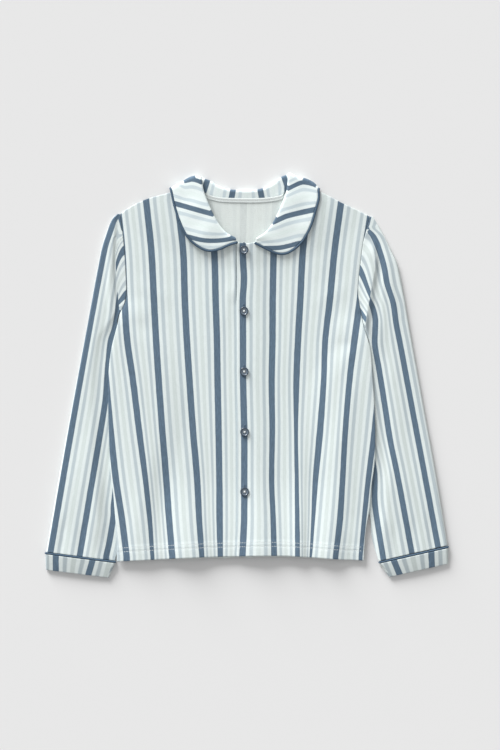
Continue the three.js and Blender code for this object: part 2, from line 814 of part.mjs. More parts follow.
// Rows of the collar's outer leaf, from the left tip round the back to the right tip
function collarRows() {
  const rows = [];
  const wingRow = (side, t) => ({ at: (s) => wingMiddle(side, s, t), out: () => new THREE.Vector3(0, 0, 1) });
  const foldRow = (side, share) => {
    const angle = Math.PI * (0.5 - share);
    const bulge = new THREE.Vector3(WINGS[side].out.x, WINGS[side].out.y, 0);
    const at = (s) => {
      const high = wingMiddle(side, s, 0);
      const low = TWO_PLY / 2;
      const middle = (high.z + low) / 2;
      high.z = middle + (high.z - middle) * Math.sin(angle);
      return high.addScaledVector(bulge, SHOULDER_BULGE * Math.cos(angle));
    };
    const out = () => bulge.clone().multiplyScalar(Math.cos(angle)).setZ(Math.sin(angle));
    return { at, out };
  };
  const fallRow = (t) => ({ at: (s) => fallMiddle(s, t), out: () => new THREE.Vector3(0, 0, -1) });
  for (let j = WING_GRID.along; j >= 0; j -= 1) {
    rows.push(wingRow(0, j / WING_GRID.along));
  }
  for (let k = 1; k <= FOLD_STEPS; k += 1) {
    rows.push(foldRow(0, k / (FOLD_STEPS + 1)));
  }
  for (let j = 0; j <= FALL_ROWS; j += 1) {
    rows.push(fallRow(j / FALL_ROWS));
  }
  for (let k = FOLD_STEPS; k >= 1; k -= 1) {
    rows.push(foldRow(1, k / (FOLD_STEPS + 1)));
  }
  for (let j = 0; j <= WING_GRID.along; j += 1) {
    rows.push(wingRow(1, j / WING_GRID.along));
  }
  return rows;
}

function collarLeaf() {
  const rows = collarRows();
  const spot = (i, j, side) => {
    const row = rows[j];
    const place = row.at(i / WING_GRID.across);
    return place.addScaledVector(row.out(), (side * TWO_PLY) / 2).toArray();
  };
  return shell(WING_GRID.across + 1, rows.length, (i, j) => spot(i, j, 1), (i, j) => spot(i, j, -1));
}

// The turn of a roll and the layer it leads to, a little thinner than the leaf that it joins.
// Each row gives the leaf's edge, a point inside the leaf, and the far end of the other layer.
function rollShell(rows) {
  const wall = TWO_PLY - 0.2;
  const turn = 4;
  const sections = rows.map(({ edge, inside, far }) => {
    const way = edge.clone().sub(inside).setZ(0).normalize();
    const middle = (edge.z + far.from) / 2;
    const radius = (edge.z - far.from) / 2;
    const face = [];
    const back = [];
    const add = (place, out) => {
      face.push(place.clone().addScaledVector(out, wall / 2).toArray());
      back.push(place.clone().addScaledVector(out, -wall / 2).toArray());
    };
    const up = new THREE.Vector3(0, 0, Math.sign(radius));
    add(edge.clone().addScaledVector(way, -2), up);
    for (let k = 0; k <= turn; k += 1) {
      const angle = Math.PI / 2 - (Math.PI * k) / turn;
      const place = edge.clone().addScaledVector(way, Math.abs(radius) * Math.cos(angle));
      place.z = middle + radius * Math.sin(angle);
      const out = way.clone().multiplyScalar(Math.cos(angle)).addScaledVector(up, Math.sin(angle));
      add(place, out);
    }
    add(far.to, up.clone().negate());
    return { face, back };
  });
  const columns = sections[0].face.length;
  return shell(columns, sections.length, (i, j) => sections[j].face[i], (i, j) => sections[j].back[i]);
}

// The stand under a wing, from its roll back to the neck seam
function wingRoll(side) {
  const rows = [];
  for (let j = 0; j < WING_GRID.along; j += 1) {
    const t = j / WING_GRID.along;
    const edge = wingMiddle(side, 0, t);
    const inside = wingMiddle(side, 0.2, t);
    const width = STRIP * (1 - 0.75 * smoothstep(t, 0.3, 1));
    const to = edge.clone().lerp(inside, width / edge.distanceTo(inside));
    const from = underWing(edge.x, edge.y) + 0.3 + TWO_PLY / 2;
    to.z = underWing(to.x, to.y) + 0.3 + TWO_PLY / 2;
    rows.push({ edge, inside, far: { from: Math.min(from, edge.z - TWO_PLY), to } });
  }
  return rollShell(rows);
}

// The stand at the back of the neck, from the roll on top down to the neck seam
function backStand() {
  const seam = through(NECK_SEAM);
  const rows = [];
  for (let j = 0; j <= FALL_ROWS; j += 1) {
    const t = j / FALL_ROWS;
    const edge = fallMiddle(0, t);
    const inside = fallMiddle(0.2, t);
    const to = seam(t);
    to.z = FALL_LIFT + WALL / 2 + 0.2;
    rows.push({ edge, inside, far: { from: to.z + STAND_RISE, to } });
  }
  return rollShell(rows);
}

function collar() {
  const solids = [collarLeaf(), wingRoll(0), wingRoll(1), backStand()].map(toSolid);
  return toGeometry(solids.reduce((sum, solid) => sum.add(solid)));
}

// The cord round the collar follows the leaf's rim, moved out by its own radius
function collarPiping() {
  const rows = collarRows();
  const stations = rows.map((row, j) => {
    const at = row.at(1);
    const before = rows[Math.max(j - 1, 0)].at(1);
    const after = rows[Math.min(j + 1, rows.length - 1)].at(1);
    const out = row.out();
    const aside = after.sub(before).cross(out).normalize();
    aside.multiplyScalar(Math.sign(aside.dot(at.clone().sub(row.at(0.9)))));
    at.addScaledVector(aside, COLLAR_CORD + SEAM);
    at.z = Math.max(at.z, COLLAR_CORD);
    return { at, out, aside };
  });
  return cord(stations, COLLAR_CORD, false);
}

function neckTape() {
  const seam = through(NECK_SEAM);
  const columns = 15;
  const spot = (i, j, z) => {
    const { x, y } = seam(lerp(0.05, 0.95, i / (columns - 1)));
    return [x, y - 1 - (TAPE_WIDTH * j) / 2, FALL_LIFT + WALL + SEAM + z];
  };
  return shell(columns, 3, (i, j) => spot(i, j, TAPE), (i, j) => spot(i, j, 0));
}

// A four-hole button with a raised rim, standing on z = 0
function button() {
  const [edge, dish] = [BUTTON_RADIUS, BUTTON_RADIUS - BUTTON_RIM];
  const outline = [
    [0, 0],
    [edge - 0.9, 0],
    [edge, 0.8],
    [edge, 1.6],
    [edge - 0.6, BUTTON_THICK],
    [dish, BUTTON_THICK - 0.1],
    [dish - 0.7, 1.5],
    [0, 1.5],
  ].map(([r, z]) => new THREE.Vector2(r, z));
  const body = new THREE.LatheGeometry(outline, 14).rotateX(Math.PI / 2);
  const turn = [-1, 1].flatMap((x) => [-1, 1].map((y) => [x * HOLE_OFFSET, y * HOLE_OFFSET]));
  return turn.reduce((solid, [x, y]) => {
    const hole = new THREE.CylinderGeometry(HOLE_RADIUS, HOLE_RADIUS, 2 * BUTTON_THICK, 6);
    hole.rotateX(Math.PI / 2).translate(x, y, BUTTON_THICK / 2);
    return solid.subtract(toSolid(hole));
  }, toSolid(body));
}

// Highest point of the front under a button's rim
function buttonSeat({ x, y }) {
  const ring = Array.from({ length: 8 }, (_, k) => (Math.PI * k) / 4);
  const heights = ring.map((angle) => {
    return overFloor(x + BUTTON_RADIUS * Math.cos(angle), y + BUTTON_RADIUS * Math.sin(angle));
  });
  return Math.max(...heights, overFloor(x, y)) + WALL + SEAM;
}

const shirt = new THREE.Group();

function place(name, geometry, color, roughness = 0.9) {
  const material = new THREE.MeshStandardMaterial({ color, roughness, metalness: 0 });
  const mesh = new THREE.Mesh(geometry, material);
  mesh.name = name;
  shirt.add(mesh);
  return mesh;
}

place("back_panel", backPanel(), CLOTH);
place("front_under", frontUnder(), CLOTH);
place("front_over", frontOver(), CLOTH);
for (const sleeve of SLEEVES) {
  place(`sleeve_${sleeve.name}`, sleeveShell(sleeve), CLOTH);
  place(`cuff_${sleeve.name}`, cuffShell(sleeve.cuff), CLOTH);
  place(`cuff_piping_${sleeve.name}`, cuffPiping(sleeve.cuff), BLUE, 0.7);
}
place("collar", collar(), CLOTH);
place("collar_piping", collarPiping(), BLUE, 0.7);
place("neck_tape", neckTape(), WHITE);
for (const spot of BUTTONS) {
  const mesh = place(spot.name, toGeometry(button()), NAVY, 0.35);
  mesh.position.set(spot.x, spot.y, buttonSeat(spot));
}

// The origin goes to the middle of the shirt's box, at the surface that it lies on
const middle = new THREE.Box3().setFromObject(shirt).getCenter(new THREE.Vector3());
shirt.position.set(-middle.x, -middle.y, 0);
shirt.updateMatrixWorld(true);

export default shirt;
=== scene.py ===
import math

import bpy
import numpy as np
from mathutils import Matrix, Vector


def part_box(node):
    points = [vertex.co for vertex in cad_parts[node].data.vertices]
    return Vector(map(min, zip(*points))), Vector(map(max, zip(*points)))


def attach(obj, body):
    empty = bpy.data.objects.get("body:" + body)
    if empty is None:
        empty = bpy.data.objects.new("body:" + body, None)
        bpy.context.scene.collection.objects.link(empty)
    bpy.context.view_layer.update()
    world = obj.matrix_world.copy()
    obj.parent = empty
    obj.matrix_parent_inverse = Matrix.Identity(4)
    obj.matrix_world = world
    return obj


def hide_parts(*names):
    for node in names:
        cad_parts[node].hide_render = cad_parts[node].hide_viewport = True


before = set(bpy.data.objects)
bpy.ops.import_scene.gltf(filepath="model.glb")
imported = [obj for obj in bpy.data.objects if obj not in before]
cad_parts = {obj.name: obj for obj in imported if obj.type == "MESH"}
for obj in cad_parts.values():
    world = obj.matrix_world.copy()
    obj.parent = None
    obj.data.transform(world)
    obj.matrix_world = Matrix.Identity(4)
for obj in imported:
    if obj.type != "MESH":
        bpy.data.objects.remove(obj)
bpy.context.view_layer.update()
MM = 0.001

# Sizes in millimetres, as in the solids
WALL, TWO_PLY, TAPE, GAP, SEAM = 1.2, 1.6, 0.8, 0.5, 0.3
COLLAR_CORD, CUFF_CORD, WING_RISE = 1.5, 1.25, 1.0
SLEEVE_LIFT, FALL_LIFT, HEM_LIFT, ROLL_LOFT, LAP_SWELL, LAP_LOOSE = 3.5, 3.1, 4.8, 2.3, 1.7, 0.3
# Height of the sleeve's upper side at its top and foot, and the back's share of the hem's waves
SLEEVE_PUFF, BACK_SHARE = (2.2, 3.6), 0.45
CHEST, REPEAT = 106.0, 39.0
LAP_OVER, LAP_UNDER, LAP_FADE = -13.0, 8.0, 34.0
BUTTONS = {
    "button_1": (-3.6, 163.2),
    "button_2": (-3.6, 83.6),
    "button_3": (-3.3, 4.9),
    "button_4": (-2.8, -73.6),
    "button_5": (-2.8, -151.2),
}

low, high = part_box("button_3")
SHIFT = (
    (low.x + high.x) / 2 / MM - BUTTONS["button_3"][0],
    (low.y + high.y) / 2 / MM - BUTTONS["button_3"][1],
)

# Camera straight above, as far off as a long lens stands
SENSOR, FIELD_HEIGHT, CAMERA_DISTANCE = 36, 0.975, 4.0
CAMERA_PLACE = (0.0042, 0.0006, CAMERA_DISTANCE + 0.005)
camera_data = bpy.data.cameras.new("camera")
camera = bpy.data.objects.new("camera", camera_data)
bpy.context.scene.collection.objects.link(camera)
camera.location = CAMERA_PLACE
camera_data.lens = SENSOR * CAMERA_DISTANCE / FIELD_HEIGHT
camera_data.sensor_width = SENSOR
camera_data.clip_end = 30
bpy.context.scene.camera = camera


# Curves and tables


def smooth(value, start, end):
    share = np.clip((np.asarray(value, float) - start) / (end - start), 0, 1)
    return share * share * (3 - 2 * share)


def bell(value, middle, spread):
    return np.exp(-(((value - middle) / spread) ** 2))


def lerp(a, b, share):
    return a + (b - a) * share


def profile(keys, values):
    """A smooth function through a table, flat beyond its ends."""
    order = np.argsort(keys)
    k = np.asarray(keys, float)[order]
    v = np.asarray(values, float)[order]
    before = np.maximum(np.arange(len(k)) - 1, 0)
    after = np.minimum(np.arange(len(k)) + 1, len(k) - 1)
    slope = (v[after] - v[before]) / (k[after] - k[before])

    def read(at):
        place = np.clip(np.asarray(at, float), k[0], k[-1])
        i = np.clip(np.searchsorted(k, place), 1, len(k) - 1)
        step = k[i] - k[i - 1]
        f = (place - k[i - 1]) / step
        rise = f * f * (3 - 2 * f)
        start = f * (1 - f) ** 2 * step * slope[i - 1]
        end = f * f * (f - 1) * step * slope[i]
        return lerp(v[i - 1], v[i], rise) + start + end

    return read


def rows_profile(table, key=1, value=0):
    return profile([row[key] for row in table], [row[value] for row in table])


def stripe_lines(table, at, key=1, value=0):
    """Where each numbered stripe of a table lies, read at heights, or at places across."""
    return {n: rows_profile(rows, key, value)(at) for n, rows in table.items()}


def through(points):
    """A curve in plan through points, read by its share of length."""
    p = np.asarray(points, float)
    dense = []
    ghost = np.vstack([2 * p[0] - p[1], p, 2 * p[-1] - p[-2]])
    for i in range(len(p) - 1):
        q = ghost[i : i + 4]
        gaps = [max(np.linalg.norm(q[j + 1] - q[j]) ** 0.5, 1e-4) for j in range(3)]
        m1 = (q[1] - q[0]) / gaps[0] - (q[2] - q[0]) / (gaps[0] + gaps[1])
        m1 = (m1 + (q[2] - q[1]) / gaps[1]) * gaps[1]
        m2 = (q[2] - q[1]) / gaps[1] - (q[3] - q[1]) / (gaps[1] + gaps[2])
        m2 = (m2 + (q[3] - q[2]) / gaps[2]) * gaps[1]
        t = np.linspace(0, 1, 40, endpoint=i == len(p) - 2)[:, None]
        dense.append(
            q[1] + m1 * t
            + (-3 * q[1] + 3 * q[2] - 2 * m1 - m2) * t**2
            + (2 * q[1] - 2 * q[2] + m1 + m2) * t**3
        )
    line = np.vstack(dense)
    length = np.concatenate([[0], np.cumsum(np.linalg.norm(np.diff(line, axis=0), axis=1))])
    share = length / length[-1]

    def read(at):
        at = np.clip(np.asarray(at, float), 0, 1)
        return np.stack([np.interp(at, share, line[:, k]) for k in range(p.shape[1])], -1)

    return read


def straight(a, b):
    a, b = np.asarray(a, float), np.asarray(b, float)
    return lambda share: lerp(a, b, np.asarray(share, float)[..., None])


def patch(top, bottom, left, right):
    """A patch in plan between four edges."""

    def read(s, t):
        s, t = np.asarray(s, float), np.asarray(t, float)
        a, b = s[..., None], t[..., None]
        across = top(s) * (1 - b) + bottom(s) * b
        along = left(t) * (1 - a) + right(t) * a
        zero, one = np.zeros_like(s), np.ones_like(s)
        corners = (
            top(zero) * (1 - a) * (1 - b) + top(one) * a * (1 - b)
            + bottom(zero) * (1 - a) * b + bottom(one) * a * b
        )
        return across + along - corners

    return read


# Outlines, in millimetres

LEFT_EDGE = [
    (-164.6, 209.8), (-162.6, 197.3), (-160.6, 179.7), (-158.9, 162.2), (-157.4, 137.5),
    (-156.3, 107.6), (-158.6, 94), (-165, 80.3), (-167.9, 67.3), (-175.8, 36), (-179.2, 10),
    (-180.4, -22), (-179.4, -70), (-177, -126), (-173.9, -150), (-171.5, -180),
    (-169.2, -211), (-169, -242.1),
]
RIGHT_EDGE = [
    (160, 206.4), (156, 191.6), (151.5, 175.2), (149.1, 159.6), (147, 141), (144.9, 120),
    (144.9, 102.4), (147.8, 85), (151.5, 66), (156.3, 50), (160.6, 33.5), (163.8, -9),
    (166, -45), (167.1, -80), (165.8, -116), (161.8, -145), (159.2, -175), (155.3, -197),
    (153.4, -214), (152, -240.8),
]
SHOULDER_LEFT = [(-164.6, 209.8), (-151.5, 218.9), (-132, 228.5), (-99.7, 237.6), (-66, 247)]
SHOULDER_RIGHT = [(62, 247), (94.2, 238.9), (122.9, 224.6), (142.3, 215.5), (160, 206.4)]
NECK_UNDER = [
    (-62.5, 236), (-59, 226), (-49, 204.5), (-39, 190), (-27.5, 180), (-10, 172.3), (8, 171),
]
NECK_OVER = [
    (-13, 172.6), (6, 172), (26, 181.5), (37.5, 194), (48.5, 214.5), (54.5, 227), (58.5, 238),
]
NECK_SEAM = [
    (-57, 240), (-53.5, 235.8), (-40, 231), (-4.2, 229), (27.7, 230), (46, 234), (50.5, 239.5),
]
HEM = [
    (-169, -242.1), (-121.5, -239.5), (-60.5, -236.5), (-4.5, -235), (34.5, -234.4),
    (69.5, -235.6), (115, -238.9), (152, -240.8),
]
BACK_HEM_DROP = 1.3

left_edge, right_edge = rows_profile(LEFT_EDGE), rows_profile(RIGHT_EDGE)
hem_y = rows_profile(HEM, 0, 1)

# Stripes of the body: x of the middle of each dark stripe at nine heights
STRIPE_Y = [228, 163, 98, 46, -6, -71, -136, -188, -236]
STRIPE_X = {
    -5: [-193, -192, -190, -187, -183, -177, -170, -162, -156],
    -4: [-169, -162, -159, -155.5, -148, -140, -131.5, -126, -122.5],
    -3: [-131, -124.3, -120.8, -118, -114.6, -110, -104.7, -101, -96.8],
    -2: [-90.5, -82.9, -80.6, -78, -74.6, -70, -64.4, -61.7, -58.2],
    -1: [-49, -42.5, -40.5, -38.8, -38, -36.8, -35.8, -35.3, -34.5],
    0: [-4, -4, -5.2, -5, -4.9, -3.4, -3.4, -3.6, -5.9],
    1: [37.5, 35, 33.7, 33.4, 32.4, 33.1, 32.3, 34.3, 35.6],
    2: [80.5, 73, 69.5, 66.6, 64.5, 64, 65, 65.6, 66],
    3: [123, 114.3, 108, 102, 100, 95.3, 89.2, 86, 82.8],
    4: [164, 154, 147, 140, 133.5, 128, 124.4, 121, 115.2],
    5: [203, 194, 187, 180, 173, 166, 157.8, 152.3, 147.8],
}
# Half the width of a dark stripe, and where the cloth turns away and shows less of it
HALF, PRINT_HALF = 4.3, 0.112
THINNER = {
    -4: [1, 1, 1, 1, 1, 0.97, 0.85, 0.72, 0.58],
    -2: [1, 1, 1, 1, 1, 1, 1, 0.95, 0.8],
    -1: [1, 1, 1, 1, 1, 1, 1, 1, 0.85],
    1: [1, 1, 1, 1, 0.96, 0.88, 0.8, 0.82, 0.9],
    2: [1, 1, 1, 1, 0.96, 0.6, 0.6, 0.72, 0.8],
    3: [1, 1, 1, 0.9, 0.85, 1, 0.88, 0.55, 0.33],
    4: [1, 1, 1, 1, 0.9, 0.85, 0.85, 0.95, 0.85],
    5: [1, 1, 1, 1, 1, 0.9, 0.8, 0.7, 0.6],
}
stripe_line = {n: profile(STRIPE_Y, xs) for n, xs in STRIPE_X.items()}
# the stripe under the buttons bows a little between the first two
stripe_line[0] = profile(
    [228, 163, 150, 126, 104, 98, 46, -6, -71, -136, -188, -236],
    [-4, -5.4, -5, -3.7, -5, -5.3, -5, -4.9, -3.4, -3.4, -3.6, -5.9],
)
thinner = {n: profile(STRIPE_Y, THINNER.get(n, [1] * len(STRIPE_Y))) for n in STRIPE_X}


def piecewise(x, lines, halves, repeat=REPEAT):
    """How many repeats of the print lie between x and the dark stripe 0, from the place and
    half width of each dark stripe in order. Beyond the outer ones the repeat is its real size."""
    x = np.asarray(x, float)
    names = sorted(lines)
    places = [np.broadcast_to(lines[n], x.shape) for n in names]
    sizes = [np.broadcast_to(halves[n], x.shape) for n in names]
    way = np.sign(places[-1].flat[0] - places[0].flat[0])
    inner, outer = PRINT_HALF, 0.5 - PRINT_HALF

    def beyond(distance, half):
        far = inner + (distance - half) / repeat
        return np.where(distance < half, distance / half * inner, far)

    result = names[0] - beyond(way * (places[0] - x), sizes[0])
    for i in range(len(names) - 1):
        gone = way * (x - places[i])
        span = np.maximum(way * (places[i + 1] - places[i]), 0.5)
        first = np.minimum(sizes[i], 0.46 * span)
        last = np.minimum(sizes[i + 1], 0.46 * span)
        middle = inner + (gone - first) / np.maximum(span - first - last, 0.01) * 2 * outer
        share = np.where(gone < first, gone / first * inner, middle)
        share = np.where(gone > span - last, 1 - (span - gone) / last * inner, share)
        result = np.where(gone >= 0, names[i] + share, result)
    gone = way * (x - places[-1])
    return np.where(gone >= 0, names[-1] + beyond(gone, sizes[-1]), result)


def body_stripe(x, y):
    lines = {n: line(y) for n, line in stripe_line.items()}
    halves = {n: HALF * thinner[n](y) for n in lines}
    return piecewise(x, lines, halves)


# Where the layers lie

# Lines along the cloth's grain: x of each at four heights, by the number of its stripe
GRAIN_Y = [98, -6, -136, -236]
GRAIN = {
    -5: (-189, -183, -170, -156), -4: (-159, -148, -131, -122), -3: (-120, -114, -103, -95),
    -2: (-80, -74, -64, -57), -1: (-40, -38, -35, -34), 0: (-5, -4, -3, -5),
    1: (34, 33, 32, 35), 2: (69, 67, 65, 66), 3: (107, 99, 90, 84), 4: (148, 138, 125, 116),
    5: (187, 173, 159, 147),
}
grain_at = [profile([GRAIN[n][i] for n in GRAIN], list(GRAIN)) for i in range(4)]
# Waves of the hem: line under the crest, height at the hem, spread, y where it starts
WAVES = [
    (-4.4, 2.6, 0.55, -30), (-2.5, 4, 0.6, 10), (0.65, 3, 0.5, 0), (2.1, 3.2, 0.45, -30),
    (3.75, 4.2, 0.55, 40),
]


def grain_line(x, y):
    result = None
    for i in range(3):
        share = np.clip((GRAIN_Y[i] - y) / (GRAIN_Y[i] - GRAIN_Y[i + 1]), 0, 1)
        line = lerp(grain_at[i](x), grain_at[i + 1](x), share)
        result = line if result is None else np.where(y <= GRAIN_Y[i], line, result)
    return result


def wave(x, y):
    line = grain_line(x, y)
    total = 0
    for crest, height, spread, starts in WAVES:
        total = total + height * smooth(starts - y, 0, starts + 236) * bell(line, crest, spread)
    return total


# side is -1 on the left of the picture. dive holds the heights between which the sleeve
# goes under the body, and cuff its corners: outer and inner at the top, then at the bottom
SLEEVES = {
    "left_view": {
        "side": -1,
        "edge": left_edge,
        "dive": (62, 105),
        "outer": [
            (-168.2, 210), (-174.6, 203.8), (-179.2, 194.2), (-183.6, 182.2), (-189.4, 162.2),
            (-207.3, 66), (-225.6, -31.5), (-243.8, -129), (-260.8, -229.6),
        ],
        "inner": [
            (-165, 209.8), (-163, 197.3), (-161, 179.7), (-159.3, 162.2), (-157.8, 137.5),
            (-156.8, 107.6), (-159.1, 94), (-165.6, 80.3), (-168.5, 67.3), (-163, 58),
            (-154, 48), (-144, 36), (-133, 20), (-124.5, 0), (-120.5, -30), (-124, -70),
            (-134, -110), (-146, -150), (-157.5, -190), (-165.5, -220), (-171.6, -241.3),
        ],
        # where the cloth folds over, and beyond the armhole's edge the end of the tuck's print
        "fold": [
            (-167, 200), (-168.6, 187), (-170.3, 170), (-170.6, 152), (-170, 127),
            (-168.2, 108), (-166, 88),
        ],
        "cuff": ((-261.9, -232.6), (-171.2, -244.2), (-261.3, -253), (-179.7, -263.2)),
        # x of the stripes by their number, at a height
        "stripes": {
            0: [(-166.5, 210), (-172.6, 201.5), (-176.6, 190), (-185.3, 162.2), (-221, -31.5),
                (-255.2, -230.4)],
            -1: [(-156, 162), (-166.4, 95.8), (-168.3, 78.7), (-171.9, 60.8), (-176.8, 46),
                 (-179.7, 20), (-181.4, 0), (-183.5, -29), (-189.4, -68), (-217.4, -235.6)],
            -2: [(-140, 100), (-160, -60), (-172.9, -168), (-173.6, -183.6), (-178.9, -217.4),
                 (-183, -235.6)],
        },
        # the tuck's dark stripes by their number: y where each leaves the armhole, how steeply
        # they run at its top, middle and foot, how much they bend, and the rows they cover
        "tuck": {1: 163.1, 2: 105.5},
        "lean": (0.5, 0.5, 0.5),
        "bend": 0.1,
        "tuck_rows": (197, 86),
        "half": 4.0,
        "tuck_half": 6.0,
        "rise": 4.5,
    },
    "right_view": {
        "side": 1,
        "edge": right_edge,
        "dive": (40, 85),
        "outer": [
            (163.6, 206.6), (169.4, 197.6), (178.1, 182.2), (187.5, 162.8), (196.7, 141.4),
            (213.4, 50), (229.8, -40.6), (246, -130), (261, -221),
        ],
        "inner": [
            (160.4, 206.4), (156.4, 191.6), (151.9, 175.2), (149.5, 159.6), (147.4, 141),
            (145.3, 120), (145.3, 102.4), (148.2, 85), (151.9, 66), (156.7, 50), (159.3, 41),
            (153, 33), (144, 24), (135, 12), (126, -5), (120.5, -30), (121, -60), (129, -100),
            (141, -135), (153, -165), (160.3, -185), (162.6, -210), (166.6, -226),
            (171.6, -241.6),
        ],
        "fold": [
            (164, 175), (165.5, 160), (167.5, 148), (165.5, 130), (162, 111), (159.8, 98),
            (157, 83), (154, 66),
        ],
        "cuff": ((261.9, -224.6), (172.6, -244.8), (261.9, -245.1), (185.2, -262.3)),
        "stripes": {
            0: [(160.2, 206), (158, 197), (156.5, 190.5), (164.3, 181.2), (171.7, 164.4),
                (178.2, 142.2), (182.7, 118), (190.3, 93.8), (194, 67.8), (199.5, 40),
                (213.3, -34.3), (230.9, -128.2), (248.9, -225.2)],
            -1: [(137, 190), (141, 160), (157, 102), (163, 90), (167, 73.8), (166.8, 57), (166.5, 40),
                 (171.6, 10), (178.7, -34.2), (186.5, -84.8), (195.6, -129), (215.2, -234.4)],
            -2: [(128, 40), (150, -60), (165.5, -122), (166.4, -165), (169.6, -190),
                 (178, -242)],
        },
        "tuck": {0: 199, 1: 137.5, 2: 82},
        "lean": (0.3, 1.5, 2.0),
        "bend": 0.0215,
        "tuck_rows": (190, 62),
        "chart": [(152, 190), (159.3, 181.2), (166.7, 164.4), (167.5, 157), (166.5, 148),
                  (165, 130), (162, 111), (159.8, 98), (157, 83), (154, 66)],
        "half": 3.8,
        "tuck_half": 6.65,
        "rise": 15,
    },
}
for data in SLEEVES.values():
    data.setdefault("chart", data["fold"])
    for key in ("inner", "outer", "fold", "chart"):
        data[key + "_x"] = rows_profile(data[key])


def sleeve_lift(x, y):
    most = np.zeros(np.broadcast(x, y).shape)
    for data in SLEEVES.values():
        inside = data["side"] * (data["inner_x"](y) - x)
        across = 1 - smooth(inside, 8, 48)
        along = 1 - smooth(y, *data["dive"])
        most = np.maximum(most, SLEEVE_LIFT * across * along)
    return most


FALL = {"x": -2.7, "y": 241.0, "across": 94.2, "down": 57.0}


def fall_lift(x, y):
    ring = np.hypot((x - FALL["x"]) / FALL["across"], (y - FALL["y"]) / FALL["down"])
    return FALL_LIFT * (1 - smooth(ring, 1.07, 1.85))


# Soft creases of the fronts: from, to, width, height
CREASES = [
    ((-150, 96), (-92, 20), 11, 0.8), ((-146, 120), (-100, 96), 12, 0.5),
    ((138, 86), (96, 10), 12, 0.8), ((135, 118), (86, 92), 12, 0.5),
    ((-150, 20), (-118, -120), 10, 0.7), ((146, 10), (116, -110), 11, 0.8),
    ((-60, 120), (-44, 10), 14, 0.5), ((52, 110), (44, -10), 14, 0.5),
    ((-20, 118), (-30, 60), 9, 0.35), ((14, 70), (26, 20), 9, 0.35),
    ((-100, 190), (-88, 130), 13, 0.4), ((104, 190), (92, 130), 13, 0.4),
]


def crease(x, y, start, end, width, height):
    ax, ay = start
    dx, dy = end[0] - ax, end[1] - ay
    length = math.hypot(dx, dy)
    along = ((x - ax) * dx + (y - ay) * dy) / length
    aside = ((x - ax) * -dy + (y - ay) * dx) / length
    ends = smooth(along, -0.2 * length, 0.35 * length)
    ends = ends * (1 - smooth(along, 0.65 * length, 1.2 * length))
    return height * ends * np.exp(-((aside / width) ** 2))


def hem_lift(x, y):
    """How far the lower edge of back and fronts together stands off the floor."""
    across = 0.75 + 0.35 * bell(x, -70, 50) + 0.35 * bell(x, 52, 45)
    across = across * smooth(x, -172, -120) * (1 - smooth(x, 105, 155))
    return HEM_LIFT * smooth(-y, 130, 240) * across


def back_floor(x, y):
    return sleeve_lift(x, y) + fall_lift(x, y) + BACK_SHARE * wave(x, y) + hem_lift(x, y)


def front_floor(x, y):
    """The fronts lie on the back, a little raised just before the lap's edge at the top."""
    creases = sum(crease(x, y, *row) for row in CREASES)
    swell = LAP_SWELL * smooth(x, -32, -14.8) * (1 - smooth(x, -14.8, -13.3)) * smooth(y, 90, 112)
    return back_floor(x, y) + WALL + GAP + (1 - BACK_SHARE) * wave(x, y) + creases + swell


def over_floor(x, y):
    lap = (WALL + GAP) * (1 - smooth(x, LAP_UNDER + 2, LAP_FADE))
    loose = LAP_LOOSE * smooth(y, 92, 150) * bell(x, LAP_OVER, 2.6)
    return front_floor(x, y) + lap + loose


HEM_STITCH_ROWS, HEM_TURNED, HEM_DRAWN, HEM_PUCKER = (12.4, 17.5), 0.35, 0.26, 0.16


def hem_relief(x, y):
    """The turned hem: thicker below its upper edge and drawn in along two rows of stitches."""
    up = y - hem_y(x)
    turned = HEM_TURNED * (1 - smooth(up, 18.4, 20.2))
    rows = sum(HEM_DRAWN * bell(up, row, 0.9) for row in HEM_STITCH_ROWS)
    pucker = HEM_PUCKER * np.sin(x * 0.71 + 1.3 * np.sin(x * 0.13)) * bell(up, 15, 5)
    return turned - rows + pucker


# Meshes


def add_mesh(name, verts, faces, uvs, slots, materials):
    """A smooth mesh in metres, from corners in millimetres, with a cloth UV for every corner."""
    co = np.asarray(verts, float) * MM
    co[:, :2] += np.array(SHIFT) * MM
    mesh = bpy.data.meshes.new(name)
    mesh.from_pydata(co.tolist(), [], [list(map(int, f)) for f in faces])
    if uvs is not None:
        layer = mesh.uv_layers.new(name="cloth")
        flat = np.asarray([c for face in uvs for c in face], np.float32).ravel()
        layer.data.foreach_set("uv", flat)
    for material in materials:
        mesh.materials.append(material)
    mesh.polygons.foreach_set("material_index", np.asarray(slots, np.int32))
    mesh.polygons.foreach_set("use_smooth", np.ones(len(mesh.polygons), bool))
    mesh.update()
    piece = bpy.data.objects.new(name, mesh)
    bpy.context.scene.collection.objects.link(piece)
    return piece


def closed_mesh(name, verts, faces, uvs, slots, materials):
    """Turns the faces outwards where their volume says that they look inwards."""
    v, quads = np.asarray(verts, float), np.array([q for q in faces if len(q) == 4])
    f = np.concatenate([quads[:, [0, 1, 2]], quads[:, [0, 2, 3]]])
    if np.einsum("ij,ij->", v[f[:, 0]], np.cross(v[f[:, 1]], v[f[:, 2]])) < 0:
        faces, uvs = [[part[::-1] for part in parts] for parts in (faces, uvs)]
    return add_mesh(name, verts, faces, uvs, slots, materials)


def ring_faces(a, b, sides):
    """Faces between two rings of corners, whose first ones are numbered a and b."""
    return [[a + k, a + (k + 1) % sides, b + (k + 1) % sides, b + k] for k in range(sides)]


